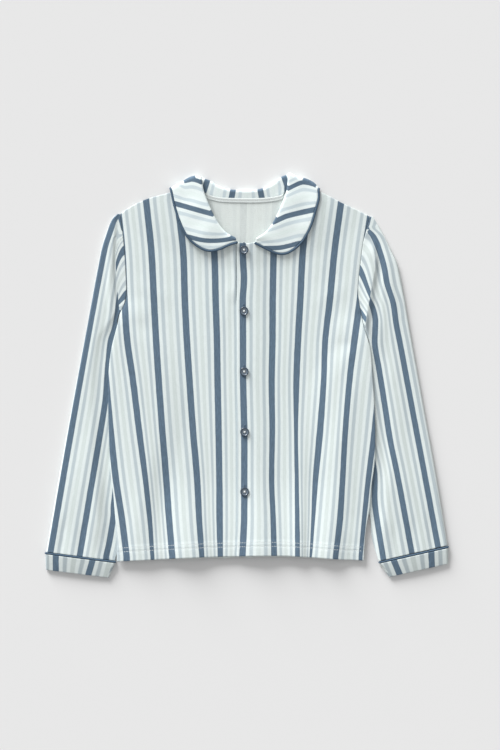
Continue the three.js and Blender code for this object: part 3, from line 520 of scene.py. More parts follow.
def sheet_mesh(name, face, back, uv, materials, loop=False, tuck=None):
    """A closed sheet from the grids of its two faces, whose edges close on each other.
    tuck, if given, holds a second chart and the cells of the face that use it."""
    rows, cols = face.shape[:2]
    spans = cols if loop else cols - 1
    verts = np.concatenate([face.reshape(-1, 3), back.reshape(-1, 3)])
    faces, uvs, slots = [], [], []

    def add(corners, slot=0, chart=uv):
        faces.append([layer * rows * cols + j * cols + i % cols for j, i, layer in corners])
        uvs.append([chart[j, i] for j, i, layer in corners])
        slots.append(slot)

    for j in range(rows - 1):
        for i in range(spans):
            cell = [(j, i), (j + 1, i), (j + 1, i + 1), (j, i + 1)]
            in_tuck = tuck is not None and tuck[1][j, i]
            add([(*corner, 0) for corner in cell], chart=tuck[0] if in_tuck else uv)
            add([(*corner, 1) for corner in cell[::-1]], 1)
    end = rows - 1
    for i in range(spans):
        add([(0, i, 1), (0, i, 0), (0, i + 1, 0), (0, i + 1, 1)])
        add([(end, i, 0), (end, i, 1), (end, i + 1, 1), (end, i + 1, 0)])
    end = cols - 1
    for j in range(0 if loop else rows - 1):
        add([(j, 0, 0), (j, 0, 1), (j + 1, 0, 1), (j + 1, 0, 0)])
        add([(j, end, 1), (j, end, 0), (j + 1, end, 0), (j + 1, end, 1)])
    return closed_mesh(name, verts, faces, uvs, slots, materials)


def tube_mesh(name, centre, out, aside, radius, closed, material):
    """A round cord through stations, each with two directions square to its run."""
    rows, sides = len(centre), 14
    angle = 2 * np.pi * (np.arange(sides) + 0.5) / sides
    across, upward = radius * np.cos(angle)[:, None], radius * np.sin(angle)[:, None]
    ring = centre[:, None, :] + across * aside[:, None, :] + upward * out[:, None, :]
    length = np.concatenate([[0], np.cumsum(np.linalg.norm(np.diff(centre, axis=0), axis=1))])
    length = np.append(length, length[-1] + np.linalg.norm(centre[0] - centre[-1]))
    u, v = length / REPEAT, np.arange(sides + 1) * 0.6 / REPEAT
    faces, uvs = [], []
    for j in range(rows if closed else rows - 1):
        faces += ring_faces(j * sides, (j + 1) % rows * sides, sides)
        for k in range(sides):
            uvs.append([(u[j], v[k]), (u[j], v[k + 1]), (u[j + 1], v[k + 1]), (u[j + 1], v[k])])
    if not closed:
        faces += [list(range(sides))[::-1], [(rows - 1) * sides + k for k in range(sides)]]
        uvs += [[(0, 0)] * sides, [(0, 0)] * sides]
    return closed_mesh(name, ring.reshape(-1, 3), faces, uvs, np.zeros(len(faces)), [material])


def rounding(distance, radius=0.75):
    """How thick a sheet is at a distance from its edge, as a share."""
    inside = 1 - np.clip(distance / radius, 0, 1)
    return np.sqrt(np.clip(1 - inside * inside, 0, 1))


# Materials


def new_material(name):
    material = bpy.data.materials.new(name)
    material.use_nodes = True
    tree = material.node_tree
    tree.nodes.clear()
    out = tree.nodes.new("ShaderNodeOutputMaterial")
    shader = tree.nodes.new("ShaderNodeBsdfPrincipled")
    tree.links.new(shader.outputs[0], out.inputs[0])
    return material, tree, shader


def feed(tree, made, inputs):
    """Sets a node's inputs, each to a value or to the output of another node."""
    for key, value in inputs.items():
        if isinstance(value, bpy.types.NodeSocket):
            tree.links.new(value, made.inputs[key])
        else:
            made.inputs[key].default_value = value


def node(tree, kind, inputs, output=0, **settings):
    """Makes a node and gives one of its outputs."""
    made = tree.nodes.new("ShaderNode" + kind)
    for key, value in settings.items():
        setattr(made, key, value)
    feed(tree, made, inputs)
    return made.outputs[output]


def maths(tree, operation, *values):
    return node(tree, "Math", dict(enumerate(values)), operation=operation)


def noise(tree, vector, scale, detail=2.0):
    return node(tree, "TexNoise", {"Vector": vector, "Scale": scale, "Detail": detail}, "Fac")


def blend(tree, factor, a, b, kind="MIX"):
    inputs = {"Factor": factor, "A": a, "B": b}
    return node(tree, "Mix", inputs, "Result", data_type="RGBA", blend_type=kind)


def opaque(colour, times=1.0):
    return (*[min(c * times, 1) for c in colour], 1)


def cloth_uv(tree):
    uv = node(tree, "UVMap", {}, uv_map="cloth")
    return uv, node(tree, "SeparateXYZ", {0: uv}, 0), node(tree, "SeparateXYZ", {0: uv}, 1)


def bump(tree, shader, height, strength, distance):
    inputs = {"Height": height, "Strength": strength, "Distance": distance}
    tree.links.new(node(tree, "Bump", inputs), shader.inputs["Normal"])


NAVY = (0.110, 0.168, 0.232)
WHITE = (0.750, 0.822, 0.816)
PALE_BLUE = (0.505, 0.583, 0.612)
PALE_GREY = (0.655, 0.728, 0.714)
WRONG_SIDE = (0.690, 0.738, 0.715)
# One repeat of the print: where each colour starts and ends, softened between them
PRINT = [
    (0.000, 0.104, NAVY), (0.120, 0.204, WHITE), (0.238, 0.314, PALE_BLUE), (0.350, 0.418, WHITE),
    (0.452, 0.548, PALE_GREY), (0.582, 0.650, WHITE), (0.686, 0.762, PALE_BLUE),
    (0.796, 0.880, WHITE), (0.896, 1.000, NAVY),
]
WALES, COURSES = 40, 46
BUTTON_DARK, BUTTON_CLOUD = (0.026, 0.044, 0.070), (0.046, 0.072, 0.106)
# painted sheen: a lighter tone on the dished face within the rim
BUTTON_PAINTED_SHEEN = (0.115, 0.150, 0.190)


def striped(name, shown, bright=1.0):
    """The printed knit. shown is the share of the print that this side shows, and bright
    lightens or darkens its ground and, twice over, its pale stripes."""
    material, tree, shader = new_material(name)
    uv, u, v = cloth_uv(tree)
    wobble = maths(tree, "SUBTRACT", noise(tree, uv, 3.0), 0.5)
    bent = maths(tree, "ADD", u, maths(tree, "MULTIPLY", wobble, 0.012))
    ramp = tree.nodes.new("ShaderNodeValToRGB")
    stops = ramp.color_ramp.elements
    while len(stops) > 1:
        stops.remove(stops[0])
    stops[0].position = 0
    stops[0].color = opaque(NAVY)
    for place, colour in [(p, colour) for start, end, colour in PRINT for p in (start, end)][1:]:
        lift = {NAVY: 1.0, WHITE: bright}.get(colour, bright * bright)
        stops.new(place).color = opaque(colour, lift)
    tree.links.new(maths(tree, "FRACT", bent), ramp.inputs[0])
    side = blend(tree, 1 - shown, ramp.outputs[0], opaque(WRONG_SIDE))
    # wales and courses of the knit, with a little unevenness of the yarn
    wale = maths(tree, "SINE", maths(tree, "MULTIPLY", u, 2 * math.pi * WALES))
    course = maths(tree, "SINE", maths(tree, "MULTIPLY", v, 2 * math.pi * COURSES))
    knit = maths(tree, "ADD", maths(tree, "MULTIPLY", wale, 0.5), maths(tree, "MULTIPLY", course, 0.3))
    yarn = noise(tree, uv, 26, 3)
    bump(tree, shader, maths(tree, "ADD", knit, maths(tree, "MULTIPLY", yarn, 2.2)), 0.35, 0.0004)
    # streaks along the stripes, strongest in the dark ones
    stretched = node(tree, "VectorMath", {0: uv, 1: (26, 4.5, 1)}, operation="MULTIPLY")
    streak = maths(tree, "SUBTRACT", noise(tree, stretched, 1.0, 3), 0.5)
    shifted = maths(tree, "FRACT", maths(tree, "ADD", bent, 0.5))
    dark = maths(tree, "COMPARE", shifted, 0.5, PRINT_HALF)
    depth = maths(tree, "ADD", maths(tree, "MULTIPLY", dark, 0.62 * shown), 0.13)
    shade = node(tree, "MapRange", {"Value": yarn, "To Min": 0.94, "To Max": 1.04})
    shade = maths(tree, "ADD", shade, maths(tree, "MULTIPLY", streak, depth))
    feed(tree, shader, {
        "Base Color": blend(tree, 1, side, shade, "MULTIPLY"), "Roughness": 0.86,
        "Sheen Weight": 0.12, "Sheen Roughness": 0.5, "Specular IOR Level": 0.25,
    })
    return material


def plain_cloth(name, colour, rough, twill):
    """Plain woven cotton, with a fine slanting rib."""
    material, tree, shader = new_material(name)
    uv, u, v = cloth_uv(tree)
    lean = [maths(tree, "MULTIPLY", part, REPEAT * twill) for part in (u, v)]
    rib = maths(tree, "SINE", maths(tree, "MULTIPLY", maths(tree, "ADD", *lean), 2 * math.pi))
    yarn = noise(tree, uv, 60, 3)
    bump(tree, shader, maths(tree, "ADD", rib, yarn), 0.4, 0.0003)
    shade = node(tree, "MapRange", {"Value": yarn, "To Min": 0.86, "To Max": 1.12})
    tint = blend(tree, 1, opaque(colour), shade, "MULTIPLY")
    feed(tree, shader, {"Base Color": tint, "Roughness": rough, "Specular IOR Level": 0.3})
    return material


def thread(name, colour):
    """Sewing thread, a little lighter and darker from stitch to stitch."""
    material, tree, shader = new_material(name)
    cloudy = noise(tree, node(tree, "TexCoord", {}, "Object"), 400)
    tint = blend(tree, cloudy, opaque(colour, 0.85), opaque(colour, 1.1))
    feed(tree, shader, {"Base Color": tint, "Roughness": 0.55})
    return material


def button_resin():
    """Dark resin with faint cloudy streaks, and a painted sheen that makes the dished face within the rim
    lighter.
    """
    material, tree, shader = new_material("button_resin")
    place = node(tree, "TexCoord", {}, "Object")
    cloudy = blend(tree, noise(tree, place, 260, 4), opaque(BUTTON_DARK), opaque(BUTTON_CLOUD))
    flat = node(tree, "VectorMath", {0: place, 1: (1, 1, 0)}, operation="MULTIPLY")
    radius = node(tree, "VectorMath", {0: flat}, "Value", operation="LENGTH")
    # the painted sheen covers the face within 4 mm of the middle and fades out towards the rim
    rim = {"Value": radius, "From Min": 0.0046, "From Max": 0.0040}
    dish = node(tree, "MapRange", rim, interpolation_type="SMOOTHSTEP")
    feed(tree, shader, {
        "Base Color": blend(tree, dish, cloudy, opaque(BUTTON_PAINTED_SHEEN)),
        "Roughness": 0.26, "Coat Weight": 0.3, "Coat Roughness": 0.15,
    })
    return material


KNIT = striped("striped_knit", 1.0)
KNIT_BACK = striped("striped_knit_wrong_side", 0.12)
# a lighter copy of the print for the collar: a lighter ground and still lighter pale stripes
KNIT_LIGHTER = striped("striped_knit_lighter", 1.0, 1.12)
# painted shade: a darker copy of the print for the cuffs, which lie folded double and slope away from the
# light
KNIT_CUFF_PAINTED_SHADE = striped("striped_knit_cuff_painted_shade", 1.0, 0.915)
# painted shade: a darker copy of the print for the right sleeve, on the side away from the light
KNIT_PAINTED_SHADE = striped("striped_knit_painted_shade", 1.0, 0.955)
PIPING = plain_cloth("piping_cotton", (0.072, 0.120, 0.178), 0.8, 1.6)
TAPE_WHITE = plain_cloth("tape_cotton", (0.80, 0.855, 0.84), 0.85, 2.2)
LIGHT_THREAD = thread("light_thread", (0.80, 0.84, 0.84))
BLUE_THREAD = thread("blue_thread", (0.100, 0.155, 0.225))
RESIN = button_resin()


def keep(piece, nodes):
    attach(piece, "root")
    if nodes:
        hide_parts(*nodes)
    return piece


# Body panels

# Steps inwards from an edge, over which it is rounded
EDGE_STEPS = np.array([0, 0.12, 0.35, 0.75, 1.6])
# Heights of the rows at the hem, and about how far the panel goes down from the chest
HEM_ROWS = [22.5, 20.4, 19.4, 18.4, 17.5, 16.6, 15, 13.3, 12.4, 11.5, 10, 7.5, 5, 3]
HEM_REACH = 345.0


def near_edges(steps, size, count):
    """Shares across a grid, close together at both ends, where the cloth's edge is rounded."""
    ends = np.array(steps) / size
    middle = np.linspace(ends[-1], 1 - ends[-1], count)[1:-1]
    return np.concatenate([ends, middle, 1 - ends[::-1]])


def upright(x):
    return lambda y: x + 0 * np.asarray(y, float)


def body_grid(top, left_x, right_x, columns, width, drop=0, close=()):
    """A panel in plan: a patch down to the chest, and level rows from there to the hem."""

    def side(edge_x, corner):
        level = lambda t: lerp(corner[1], CHEST, t)
        return lambda t: np.stack([edge_x(level(t)), level(t)], -1)

    s = np.unique(np.concatenate([near_edges(EDGE_STEPS, width, columns), close]))
    edge = EDGE_STEPS / 100
    chest = straight((left_x(CHEST), CHEST), (right_x(CHEST), CHEST))
    yoke = patch(top, chest, side(left_x, top(0.0)), side(right_x, top(1.0)))
    yoke = yoke(*np.meshgrid(s, np.concatenate([edge, np.linspace(edge[-1], 1, 44)[1:]])))
    hem = 1 - np.concatenate([HEM_ROWS, EDGE_STEPS[::-1]]) / HEM_REACH
    rows = np.concatenate([np.linspace(0, 1 - 25 / HEM_REACH, 104)[1:], hem])
    across, down = np.meshgrid(s, rows)
    level = lerp(CHEST, lerp(HEM[0][1], HEM[-1][1], across), down)
    x = lerp(left_x(level), right_x(level), across)
    shows = bell(x, -28, 5) + bell(x, 4.5, 4)
    y = lerp(CHEST, hem_y(x) - drop * (np.sin(np.pi * across) + 0.8 * shows), down)
    return np.concatenate([yoke, np.stack([x, y], -1)])


def edge_distance(grid):
    """Distance of each grid point along the sheet from its left, right, top and bottom edge."""
    result = []
    for axis in (1, 0):
        steps = np.linalg.norm(np.diff(grid, axis=axis), axis=2)
        gone = np.insert(np.cumsum(steps, axis), 0, 0, axis)
        result += [gone, (gone[:, -1:] if axis else gone[-1:]) - gone]
    return result


def body_panel(name, plan, floor, sewn=None):
    """sewn numbers the edge, 0 left or 1 right, where a front comes down to the back's seam."""
    x, y = plan[..., 0], plan[..., 1]
    edges = edge_distance(plan)
    thick = rounding(np.minimum.reduce(edges))
    middle = floor(x, y) + WALL / 2
    if sewn is not None:
        middle = middle - (GAP - 0.05) * bell(edges[sewn], 0, 2.2)
    up, down = middle + thick * WALL / 2, middle - thick * WALL / 2
    relief = hem_relief(x, y)
    if name == "back_panel":
        layers = down + np.clip(-relief, 0, 0.4), up
    else:
        layers = up + relief * thick, down
    face, back = [np.dstack([x, y, z]) for z in layers]
    uv = np.stack([body_stripe(x, y), y / REPEAT], -1)
    return keep(sheet_mesh(name + "_cloth", face, back, uv, [KNIT, KNIT_BACK]), [name])


neck_back = [(x * 1.02, y - 3 * SEAM) for x, y in NECK_SEAM]
back_plan = body_grid(through(SHOULDER_LEFT + neck_back + SHOULDER_RIGHT), left_edge, right_edge,
                      112, 330, BACK_HEM_DROP)
# columns close together where the other front's edge lies on this one
under_plan = body_grid(through(SHOULDER_LEFT + NECK_UNDER), left_edge, upright(LAP_UNDER),
                       62, 175, close=np.linspace(0.8505, 0.9045, 30))
over_plan = body_grid(through(NECK_OVER + SHOULDER_RIGHT), upright(LAP_OVER), right_edge, 62, 170)
back_panel = body_panel("back_panel", back_plan, back_floor)
front_under = body_panel("front_under", under_plan, front_floor, 0)
front_over = body_panel("front_over", over_plan, over_floor, 1)


# Sleeves

# Height of the tuck's ridge, and how far beyond its fold it runs out, in its upper and lower part
RIDGE_HEIGHT, RIDGE_END = (3.4, 4.4), (5.4, 8.5)


def sleeve_floor(data, x, y):
    """Height of the lower face of a sleeve's upper layer."""
    edge = data["edge"](y)
    fold_high, fold_low = data["fold"][0][1], data["fold"][-1][1]
    tucked = smooth(y, fold_low - 45, fold_low + 5)
    outside = data["side"] * (x - lerp(edge, data["fold_x"](y), tucked))
    puff = smooth((outside - lerp(7, 0, tucked)) / lerp(18, data["rise"], tucked), 0, 1)
    crest = 1 - 0.6 * smooth(y, fold_high - 30, fold_high + 5)
    raised = sleeve_lift(edge, y) * (1 - smooth(np.abs(x - edge), 0, 10)) * smooth(y, *data["dive"])
    ridge = 0
    if data["side"] > 0:
        # the tuck rises towards its fold and drops off beyond it
        wide = np.maximum(data["fold_x"](y) - edge, 4)
        before = smooth(x - edge, -0.05 * wide, wide)
        deep = 1 - smooth(y, 88, 114)
        after = 1 - smooth(outside, -0.6, lerp(*RIDGE_END, deep))
        ends = smooth(y, 48, 70), 1 - smooth(y, 154, 180)
        ridge = lerp(*RIDGE_HEIGHT, deep) * before * after * ends[0] * ends[1]
    full = lerp(*SLEEVE_PUFF, smooth(-y, 60, 160))
    return WALL + GAP + np.maximum(full * puff * crest, raised) + ridge


# Size of one repeat of the print along the tuck, which is drawn out there
TUCK_REPEAT = 57.0
# Soft creases of the sleeves: from, to, width, height; a valley has a height below zero
SLEEVE_CREASES = {
    "left_view": [
        ((-178, 165), (-178, 70), 4.0, 1.3), ((-170, 170), (-171, 95), 2.4, -0.5),
        ((-188, 110), (-214, -20), 7, 0.6), ((-200, -60), (-226, -190), 8, 0.6),
        ((-222, -100), (-246, -215), 6, 0.5), ((-190, -120), (-204, -225), 6, 0.6),
        ((-182, 60), (-190, -90), 5, 0.5),
        ((-238, -186), (-243, -236), 6, -1.0), ((-214, -196), (-217, -240), 6, -1.0),
        ((-190, -204), (-190, -244), 5, -0.9), ((-253, -200), (-256, -232), 4, -0.6),
    ],
    "right_view": [
        ((173, 160), (171, 66), 4.2, -1.2),
        ((183, 150), (196, 60), 4.6, 0.9), ((178, 60), (186, 0), 5, -0.7),
        ((187, 30), (206, -70), 6, 0.6), ((190, -40), (214, -170), 8, 0.6),
        ((214, -60), (240, -200), 6, 0.5), ((163, 60), (168, 10), 4, -0.8),
        ((238, -180), (244, -236), 6, -1.0), ((214, -190), (219, -242), 6, -1.0),
        ((190, -196), (193, -246), 5, -0.9), ((252, -190), (256, -230), 4, -0.6),
    ],
}


def sleeve_charts(data, x, y):
    """How many repeats of the print lie before a point, on the sleeve and on its tuck."""
    side = data["side"]
    lines = stripe_lines(data["stripes"], y)
    halves = {n: np.full_like(x, data["half"]) for n in lines}
    if side > 0:
        halves[0] = lerp(halves[0], 4.3, smooth(y, 160, 172))
        halves[0] = lerp(halves[0], 1.9, smooth(y, 187, 193))
    flat_u = piecewise(x, lines, halves)
    from_seam = side * (x - data["edge"](y))
    steep = profile([70, 130, 178], data["lean"][::-1])(y)
    crossing = y + steep * from_seam + data["bend"] * from_seam * np.abs(from_seam)
    tuck_lines = {n: -place for n, place in data["tuck"].items()}
    tuck_halves = dict.fromkeys(tuck_lines, data["tuck_half"])
    tuck_u = piecewise(-crossing, tuck_lines, tuck_halves, TUCK_REPEAT)
    if side < 0:
        # at the shoulder's tip the stripe of the outer edge turns back along the armhole
        wide = 3.9 * (y - 176.5) / 28.6
        apart = np.minimum(from_seam - wide, np.abs(x - lines[0]) - data["half"])
        roof = np.clip(PRINT_HALF + apart / REPEAT, 0, 0.5)
        tuck_u = lerp(tuck_u, roof, smooth(crossing, 172, 190))
        flat_u = np.where((y > 180) & (side * (x - lines[0]) < 0), -roof, flat_u)
    return flat_u, tuck_u


SLEEVE_EDGE_STEPS = [0, 0.15, 0.4, 0.8, 1.6]
# Shares of the way from the seam to the tuck's fold, on to the outer edge, and back below
TO_FOLD = [0, 0.03, 0.08, 0.14, 0.22, 0.34, 0.46, 0.58, 0.70, 0.82, 0.92, 1.0]
BEYOND_FOLD = np.concatenate([[0.006, 0.014, 0.024], np.linspace(0.04, 1, 55)])
BELOW = np.concatenate([np.linspace(1, 0.03, 26), [0.015, 0.008, 0.003, 0]])


def on_rows(start, way, along):
    """x and y at places along rows that run from start in the direction way."""
    return [start[:, k : k + 1] + way[:, k : k + 1] * along for k in (0, 1)]


def sleeve(name, data):
    """One sheet from the seam over the upper side, round the outer edge and back underneath."""
    side = data["side"]
    high, low = data["inner"][0][1], data["inner"][-1][1]
    t = near_edges(SLEEVE_EDGE_STEPS, high - low, 150)
    y_in = lerp(high, low, t)
    y_out = lerp(data["outer"][0][1], data["outer"][-1][1], t)
    start = np.stack([data["inner_x"](y_in), y_in], -1)
    way = np.stack([data["outer_x"](y_out), y_out], -1) - start
    width = np.linalg.norm(way, axis=1)[:, None]
    way = way / width
    middle = (sleeve_floor(data, *on_rows(start, way, width * 0.85)) + WALL) / 2
    turn = width - middle

    # the upper layer, with its rows of points close together at the tuck's fold
    top, foot = data["tuck_rows"]
    kept = smooth(y_in, foot - 30, foot) * (1 - smooth(y_in, top - 5, top + 10))
    inside_fold = side * (data["chart_x"](y_in) - start[:, 0])
    fold_at = lerp(8.0, np.clip(inside_fold, 1.5, 30), kept)
    fold_at = np.minimum(fold_at[:, None], 0.5 * turn)
    along = np.concatenate([fold_at * TO_FOLD, fold_at + (turn - fold_at) * BEYOND_FOLD], 1)
    x, y = on_rows(start, way, along)
    settle = smooth(along / turn, 0.8, 1)
    z = lerp(sleeve_floor(data, x, y), 2 * middle - WALL, settle)
    extra = sum(crease(x, y, *row) for row in SLEEVE_CREASES[name])
    free = smooth(side * (x - data["edge"](y)), 1, 7) * (1 - settle)
    z = np.maximum(z + extra * free, WALL + GAP)

    # the whole section: places along it, heights, and the way outwards at each
    angle = np.pi / 2 - np.pi * np.arange(1, 12) / 12
    radius, below = middle - WALL / 2, turn * BELOW
    ahead = np.concatenate([along, turn + radius * np.cos(angle), below], 1)
    height = [z + WALL / 2, middle + radius * np.sin(angle), np.full_like(below, WALL / 2)]
    height = np.concatenate(height, 1)
    count, back_count = along.shape[1], len(BELOW)
    out_a = np.concatenate([np.zeros(count), np.cos(angle), np.zeros(back_count)])
    out_h = np.concatenate([np.ones(count), np.sin(angle), -np.ones(back_count)])
    far_off = np.full((len(t), len(angle)), 50.0)
    row_gap = np.minimum(t, 1 - t)[:, None] * (high - low)
    half = WALL / 2 * rounding(np.minimum(np.concatenate([along, far_off, below], 1), row_gap))

    def layer(sign):
        plan = on_rows(start, way, ahead + sign * half * out_a)
        return np.stack([*plan, height + sign * half * out_h], -1)

    # the print goes on round the outer edge
    flat_u, tuck_u = sleeve_charts(data, x, y)
    arc = middle * (np.pi / 2 - angle)
    onward = np.concatenate([arc, np.pi * middle + turn - below], 1) / REPEAT
    u = np.concatenate([flat_u, flat_u[:, -1:] + onward], 1)
    v = np.concatenate([y, np.repeat(y[:, -1:], onward.shape[1], 1)], 1) / REPEAT
    uv = np.stack([u, v], -1)
    tuck_uv = np.zeros_like(uv)
    tuck_uv[:, :count] = np.stack([tuck_u, (y + x) / REPEAT], -1)
    cells = np.zeros(u.shape, bool)
    cells[(y_in < top) & (y_in > foot), : len(TO_FOLD) - 1] = True
    # the right sleeve takes the copy of the print with painted shade
    cloth = [KNIT_PAINTED_SHADE if side > 0 else KNIT, KNIT_BACK]
    piece = sheet_mesh(f"sleeve_{name}_cloth", layer(1), layer(-1), uv, cloth, tuck=(tuck_uv, cells))
    return keep(piece, [f"sleeve_{name}"])


sleeves = {name: sleeve(name, data) for name, data in SLEEVES.items()}


# Cuffs and their piping

CUFF_HEIGHTS, CUFF_CROWN, CUFF_DEPTH, CUFF_REPEAT = (6.6, 3.9), 0.8, 22, 46.0
CUFF_EDGE_STEPS = [0, 0.1, 0.3, 0.65, 1.2]
# Half the width of a dark stripe on the cuffs and on the collar's stand
BAND_HALF = 3.9
# x of two dark stripes at the top and at the bottom of each cuff
CUFF_STRIPES = {
    "left_view": {0: (-248.3, -248.3), -1: (-200.5, -206.2)},
    "right_view": {0: (239.7, 240.8), -1: (191.1, 198.9)},
}
# Points across the upper side, and again across the lower one
RING_STEPS = 41


def ring_section(width, height, wall):
    """A flattened ring: places along it, heights, and the way outwards at each."""
    share, turn = np.linspace(0, 1, RING_STEPS), np.pi * np.arange(1, 10) / 10
    reach, radius, ones = width - height, (height - wall) / 2, np.ones(RING_STEPS)
    far, near = np.pi / 2 - turn, -np.pi / 2 - turn
    flat = height / 2 + reach * share
    far_end, near_end = height / 2 + reach + radius * np.cos(far), height / 2 + radius * np.cos(near)
    along = [flat, far_end, flat[::-1], near_end]
    top = height - wall / 2 + CUFF_CROWN * np.sin(np.pi * share)
    z = [top, height / 2 + radius * np.sin(far), wall / 2 * ones, height / 2 + radius * np.sin(near)]
    out_a = [0 * ones, np.cos(far), 0 * ones, np.cos(near)]
    out_z = [ones, np.sin(far), -ones, np.sin(near)]
    return [np.concatenate(part) for part in (along, z, out_a, out_z)]


def ring_points(start, way, along, z):
    return np.stack([start[0] + way[0] * along, start[1] + way[1] * along, z], -1)


def cuff(name, data):
    outer_top, inner_top, outer_low, inner_low = np.array(data["cuff"], float)
    faces, backs, uvs = [], [], []
    for share in near_edges(CUFF_EDGE_STEPS, CUFF_DEPTH, 12):
        start, end = lerp(inner_top, inner_low, share), lerp(outer_top, outer_low, share)
        width = np.linalg.norm(end - start)
        way = (end - start) / width
        along, z, out_a, out_z = ring_section(width, lerp(*CUFF_HEIGHTS, share), TWO_PLY)
        thick = rounding(min(share, 1 - share) * CUFF_DEPTH) * TWO_PLY / 2
        ease = 0.2 * np.sin(np.pi * share) * (out_z > 0)
        for grid, sign in ((faces, 1), (backs, -1)):
            rise = z + sign * out_z * thick + ease
            grid.append(ring_points(start, way, along + sign * out_a * thick, rise))
        lines = {n: lerp(a, b, share) for n, (a, b) in CUFF_STRIPES[name].items()}
        halves = dict.fromkeys(lines, BAND_HALF)
        u = piecewise(start[0] + way[0] * along, lines, halves, CUFF_REPEAT)
        # past the upper side the print runs on in its real size
        step = np.hypot(np.diff(along, append=along[0]), np.diff(z, append=z[0]))[RING_STEPS - 1 :]
        sign = math.copysign(1, lines[0] - lines[-1]) * math.copysign(1, way[0])
        u = np.append(u[:RING_STEPS], u[RING_STEPS - 1] + np.cumsum(step / CUFF_REPEAT * sign))
        uvs.append(np.stack([u, np.full(len(u), (start[1] + end[1]) / 2 / REPEAT)], -1))
    grids = [np.array(grid) for grid in (faces, backs, uvs)]
    # both faces of the cuffs take the copy of the print with painted shade
    piece = sheet_mesh(f"cuff_{name}_cloth", *grids, [KNIT_CUFF_PAINTED_SHADE, KNIT_CUFF_PAINTED_SHADE], loop=True)
    return keep(piece, [f"cuff_{name}"])


def cuff_piping(name, data):
    outer, inner = np.array(data["cuff"][:2], float)
    way = (outer - inner) / np.linalg.norm(outer - inner)
    up = np.array([-way[1], way[0]]) * math.copysign(1, way[0])
    lift, past = up * (CUFF_CORD + SEAM - 0.1), way * 1.2
    start = inner + lift - past
    width = np.linalg.norm(outer + lift + past - start)
    along, z, out_a, out_z = ring_section(width, CUFF_HEIGHTS[0], 2 * CUFF_CORD)
    centre = ring_points(start, way, along, z)
    out = np.stack([way[0] * out_a, way[1] * out_a, out_z], -1)
    aside = np.broadcast_to(np.array([*up, 0.0]), out.shape)
    piece = tube_mesh(f"cuff_piping_{name}_cord", centre, out, aside, CUFF_CORD, True, PIPING)
    return keep(piece, [f"cuff_piping_{name}"])


cuffs = {name: cuff(name, data) for name, data in SLEEVES.items()}
cuff_pipings = {name: cuff_piping(name, data) for name, data in SLEEVES.items()}


# Collar

WINGS = [
    {
        "out": (-0.39, 0.92),
        "roll": [
            (-61.3, 255.2), (-58.5, 240), (-55, 229.5), (-45, 207), (-36, 192.6), (-26, 182.6),
            (-14, 176.6),
        ],
        "rim": [
            (-96.9, 241), (-92.2, 219.5), (-85.4, 199.2), (-77.9, 183.8), (-66.5, 171.5),
            (-50.1, 163.3), (-35.2, 165.6), (-23.5, 171), (-13, 174),
        ],
        "top": [(-61.3, 255.2), (-65, 256.2), (-72.5, 254.6), (-82, 249.3), (-96.9, 241)],
        # y of the stripes by their number, at an x
        "stripes": {
            0: [(-80, 180.9), (-55.2, 175.3), (-33.2, 175.3), (-12.5, 179)],
            1: [(-95.7, 223.7), (-43.2, 208.9), (-14, 201)],
            2: [(-96, 260), (-88, 257), (-81, 252.8), (-71, 254.2), (-64.4, 252.7), (-58.6, 250.0)],
        },
    },
    {
        "out": (0.46, 0.89),
        "roll": [
            (56, 259.5), (55, 250), (54, 240), (49.5, 227), (45.6, 217.2), (35.3, 197),
            (25.5, 184.8), (12, 176.2),
        ],
        "rim": [
            (91.5, 241), (92.4, 232), (87.9, 214.9), (82, 195.2), (71.3, 175.7), (61.6, 166.1),
            (50.8, 159.8), (40.3, 159.8), (25, 166.4), (11, 173.4),
        ],
        "top": [(56, 259.5), (64.5, 255.2), (76, 252.5), (86, 247.2), (91.5, 241)],
        "stripes": {
            0: [(12, 163), (22.8, 165.2), (44.9, 166.1), (67.3, 171.7)],
            1: [(14, 192), (35.8, 199.5), (52.5, 206.9), (91.5, 216.2)],
            2: [(53.4, 242.3), (70.9, 250.4), (80, 250.0), (90.4, 246.6)],
        },
    },
]
BACK_ROLL = [
    (-61.3, 255.2), (-52, 252.9), (-40, 245), (-24.1, 239.4), (-4.2, 238), (17.6, 239.4),
    (33.5, 246), (47, 256), (56, 259.5),
]
# x of the stand's dark stripes by their number, at a height
STAND_STRIPES = {
    3: [(-51, 254), (-56.5, 237)],
    4: [(-17.8, 240.8), (-19.8, 231)],
    5: [(17.3, 241.5), (19.5, 231)],
    6: [(48, 258.4), (52.5, 246.7)],
}
STRIP, STAND_RISE, SHOULDER_BULGE = 7.0, 1.4, 3.0
# Half widths of the wings' dark stripes, and the size of one repeat there
WING_HALVES, WING_REPEAT = {0: 2.9, 1: 3.4, 2: 2.9}, 34.0


def under_wing(x, y):
    return over_floor(x, y) + WALL


def wing_plan(wing):
    tip = straight(wing["roll"][-1], wing["rim"][-1])
    return patch(through(wing["top"]), tip, through(wing["roll"]), through(wing["rim"]))


wing_plans = [wing_plan(w) for w in WINGS]


def wing_middle(side, s, t):
    """The middle of a wing's cloth: s goes from the roll to the rim, t from shoulder to tip."""
    spot = wing_plans[side](s, t)
    loft = ROLL_LOFT * (1 - smooth(s, 0, 0.75)) * (1 - 0.7 * smooth(t, 0.5, 1))
    waves = np.sin(2 * np.pi * (3.4 * t + 0.35 * s + 0.4 * side)) * np.sin(np.pi * np.clip(s, 0, 1))
    z = under_wing(spot[..., 0], spot[..., 1]) + WING_RISE + loft + 0.32 * waves + TWO_PLY / 2
    return np.concatenate([spot, z[..., None]], -1)


def fall_edge(t):
    angle = np.pi * np.asarray(t, float)
    x = FALL["x"] - FALL["across"] * np.cos(angle)
    return np.stack([x, FALL["y"] - FALL["down"] * np.sin(angle)], -1)


fall_plan = patch(through(WINGS[0]["top"]), through(WINGS[1]["top"]), through(BACK_ROLL), fall_edge)


def fall_middle(s, t):
    """The same for the fall, the part that lies on the floor behind the neck."""
    spot = fall_plan(s, t)
    return np.concatenate([spot, np.full(spot.shape[:-1] + (1,), TWO_PLY / 2)], -1)


def stand_stripe(points):
    lines = stripe_lines(STAND_STRIPES, points[:, 1])
    return piecewise(points[:, 0], lines, dict.fromkeys(lines, BAND_HALF))


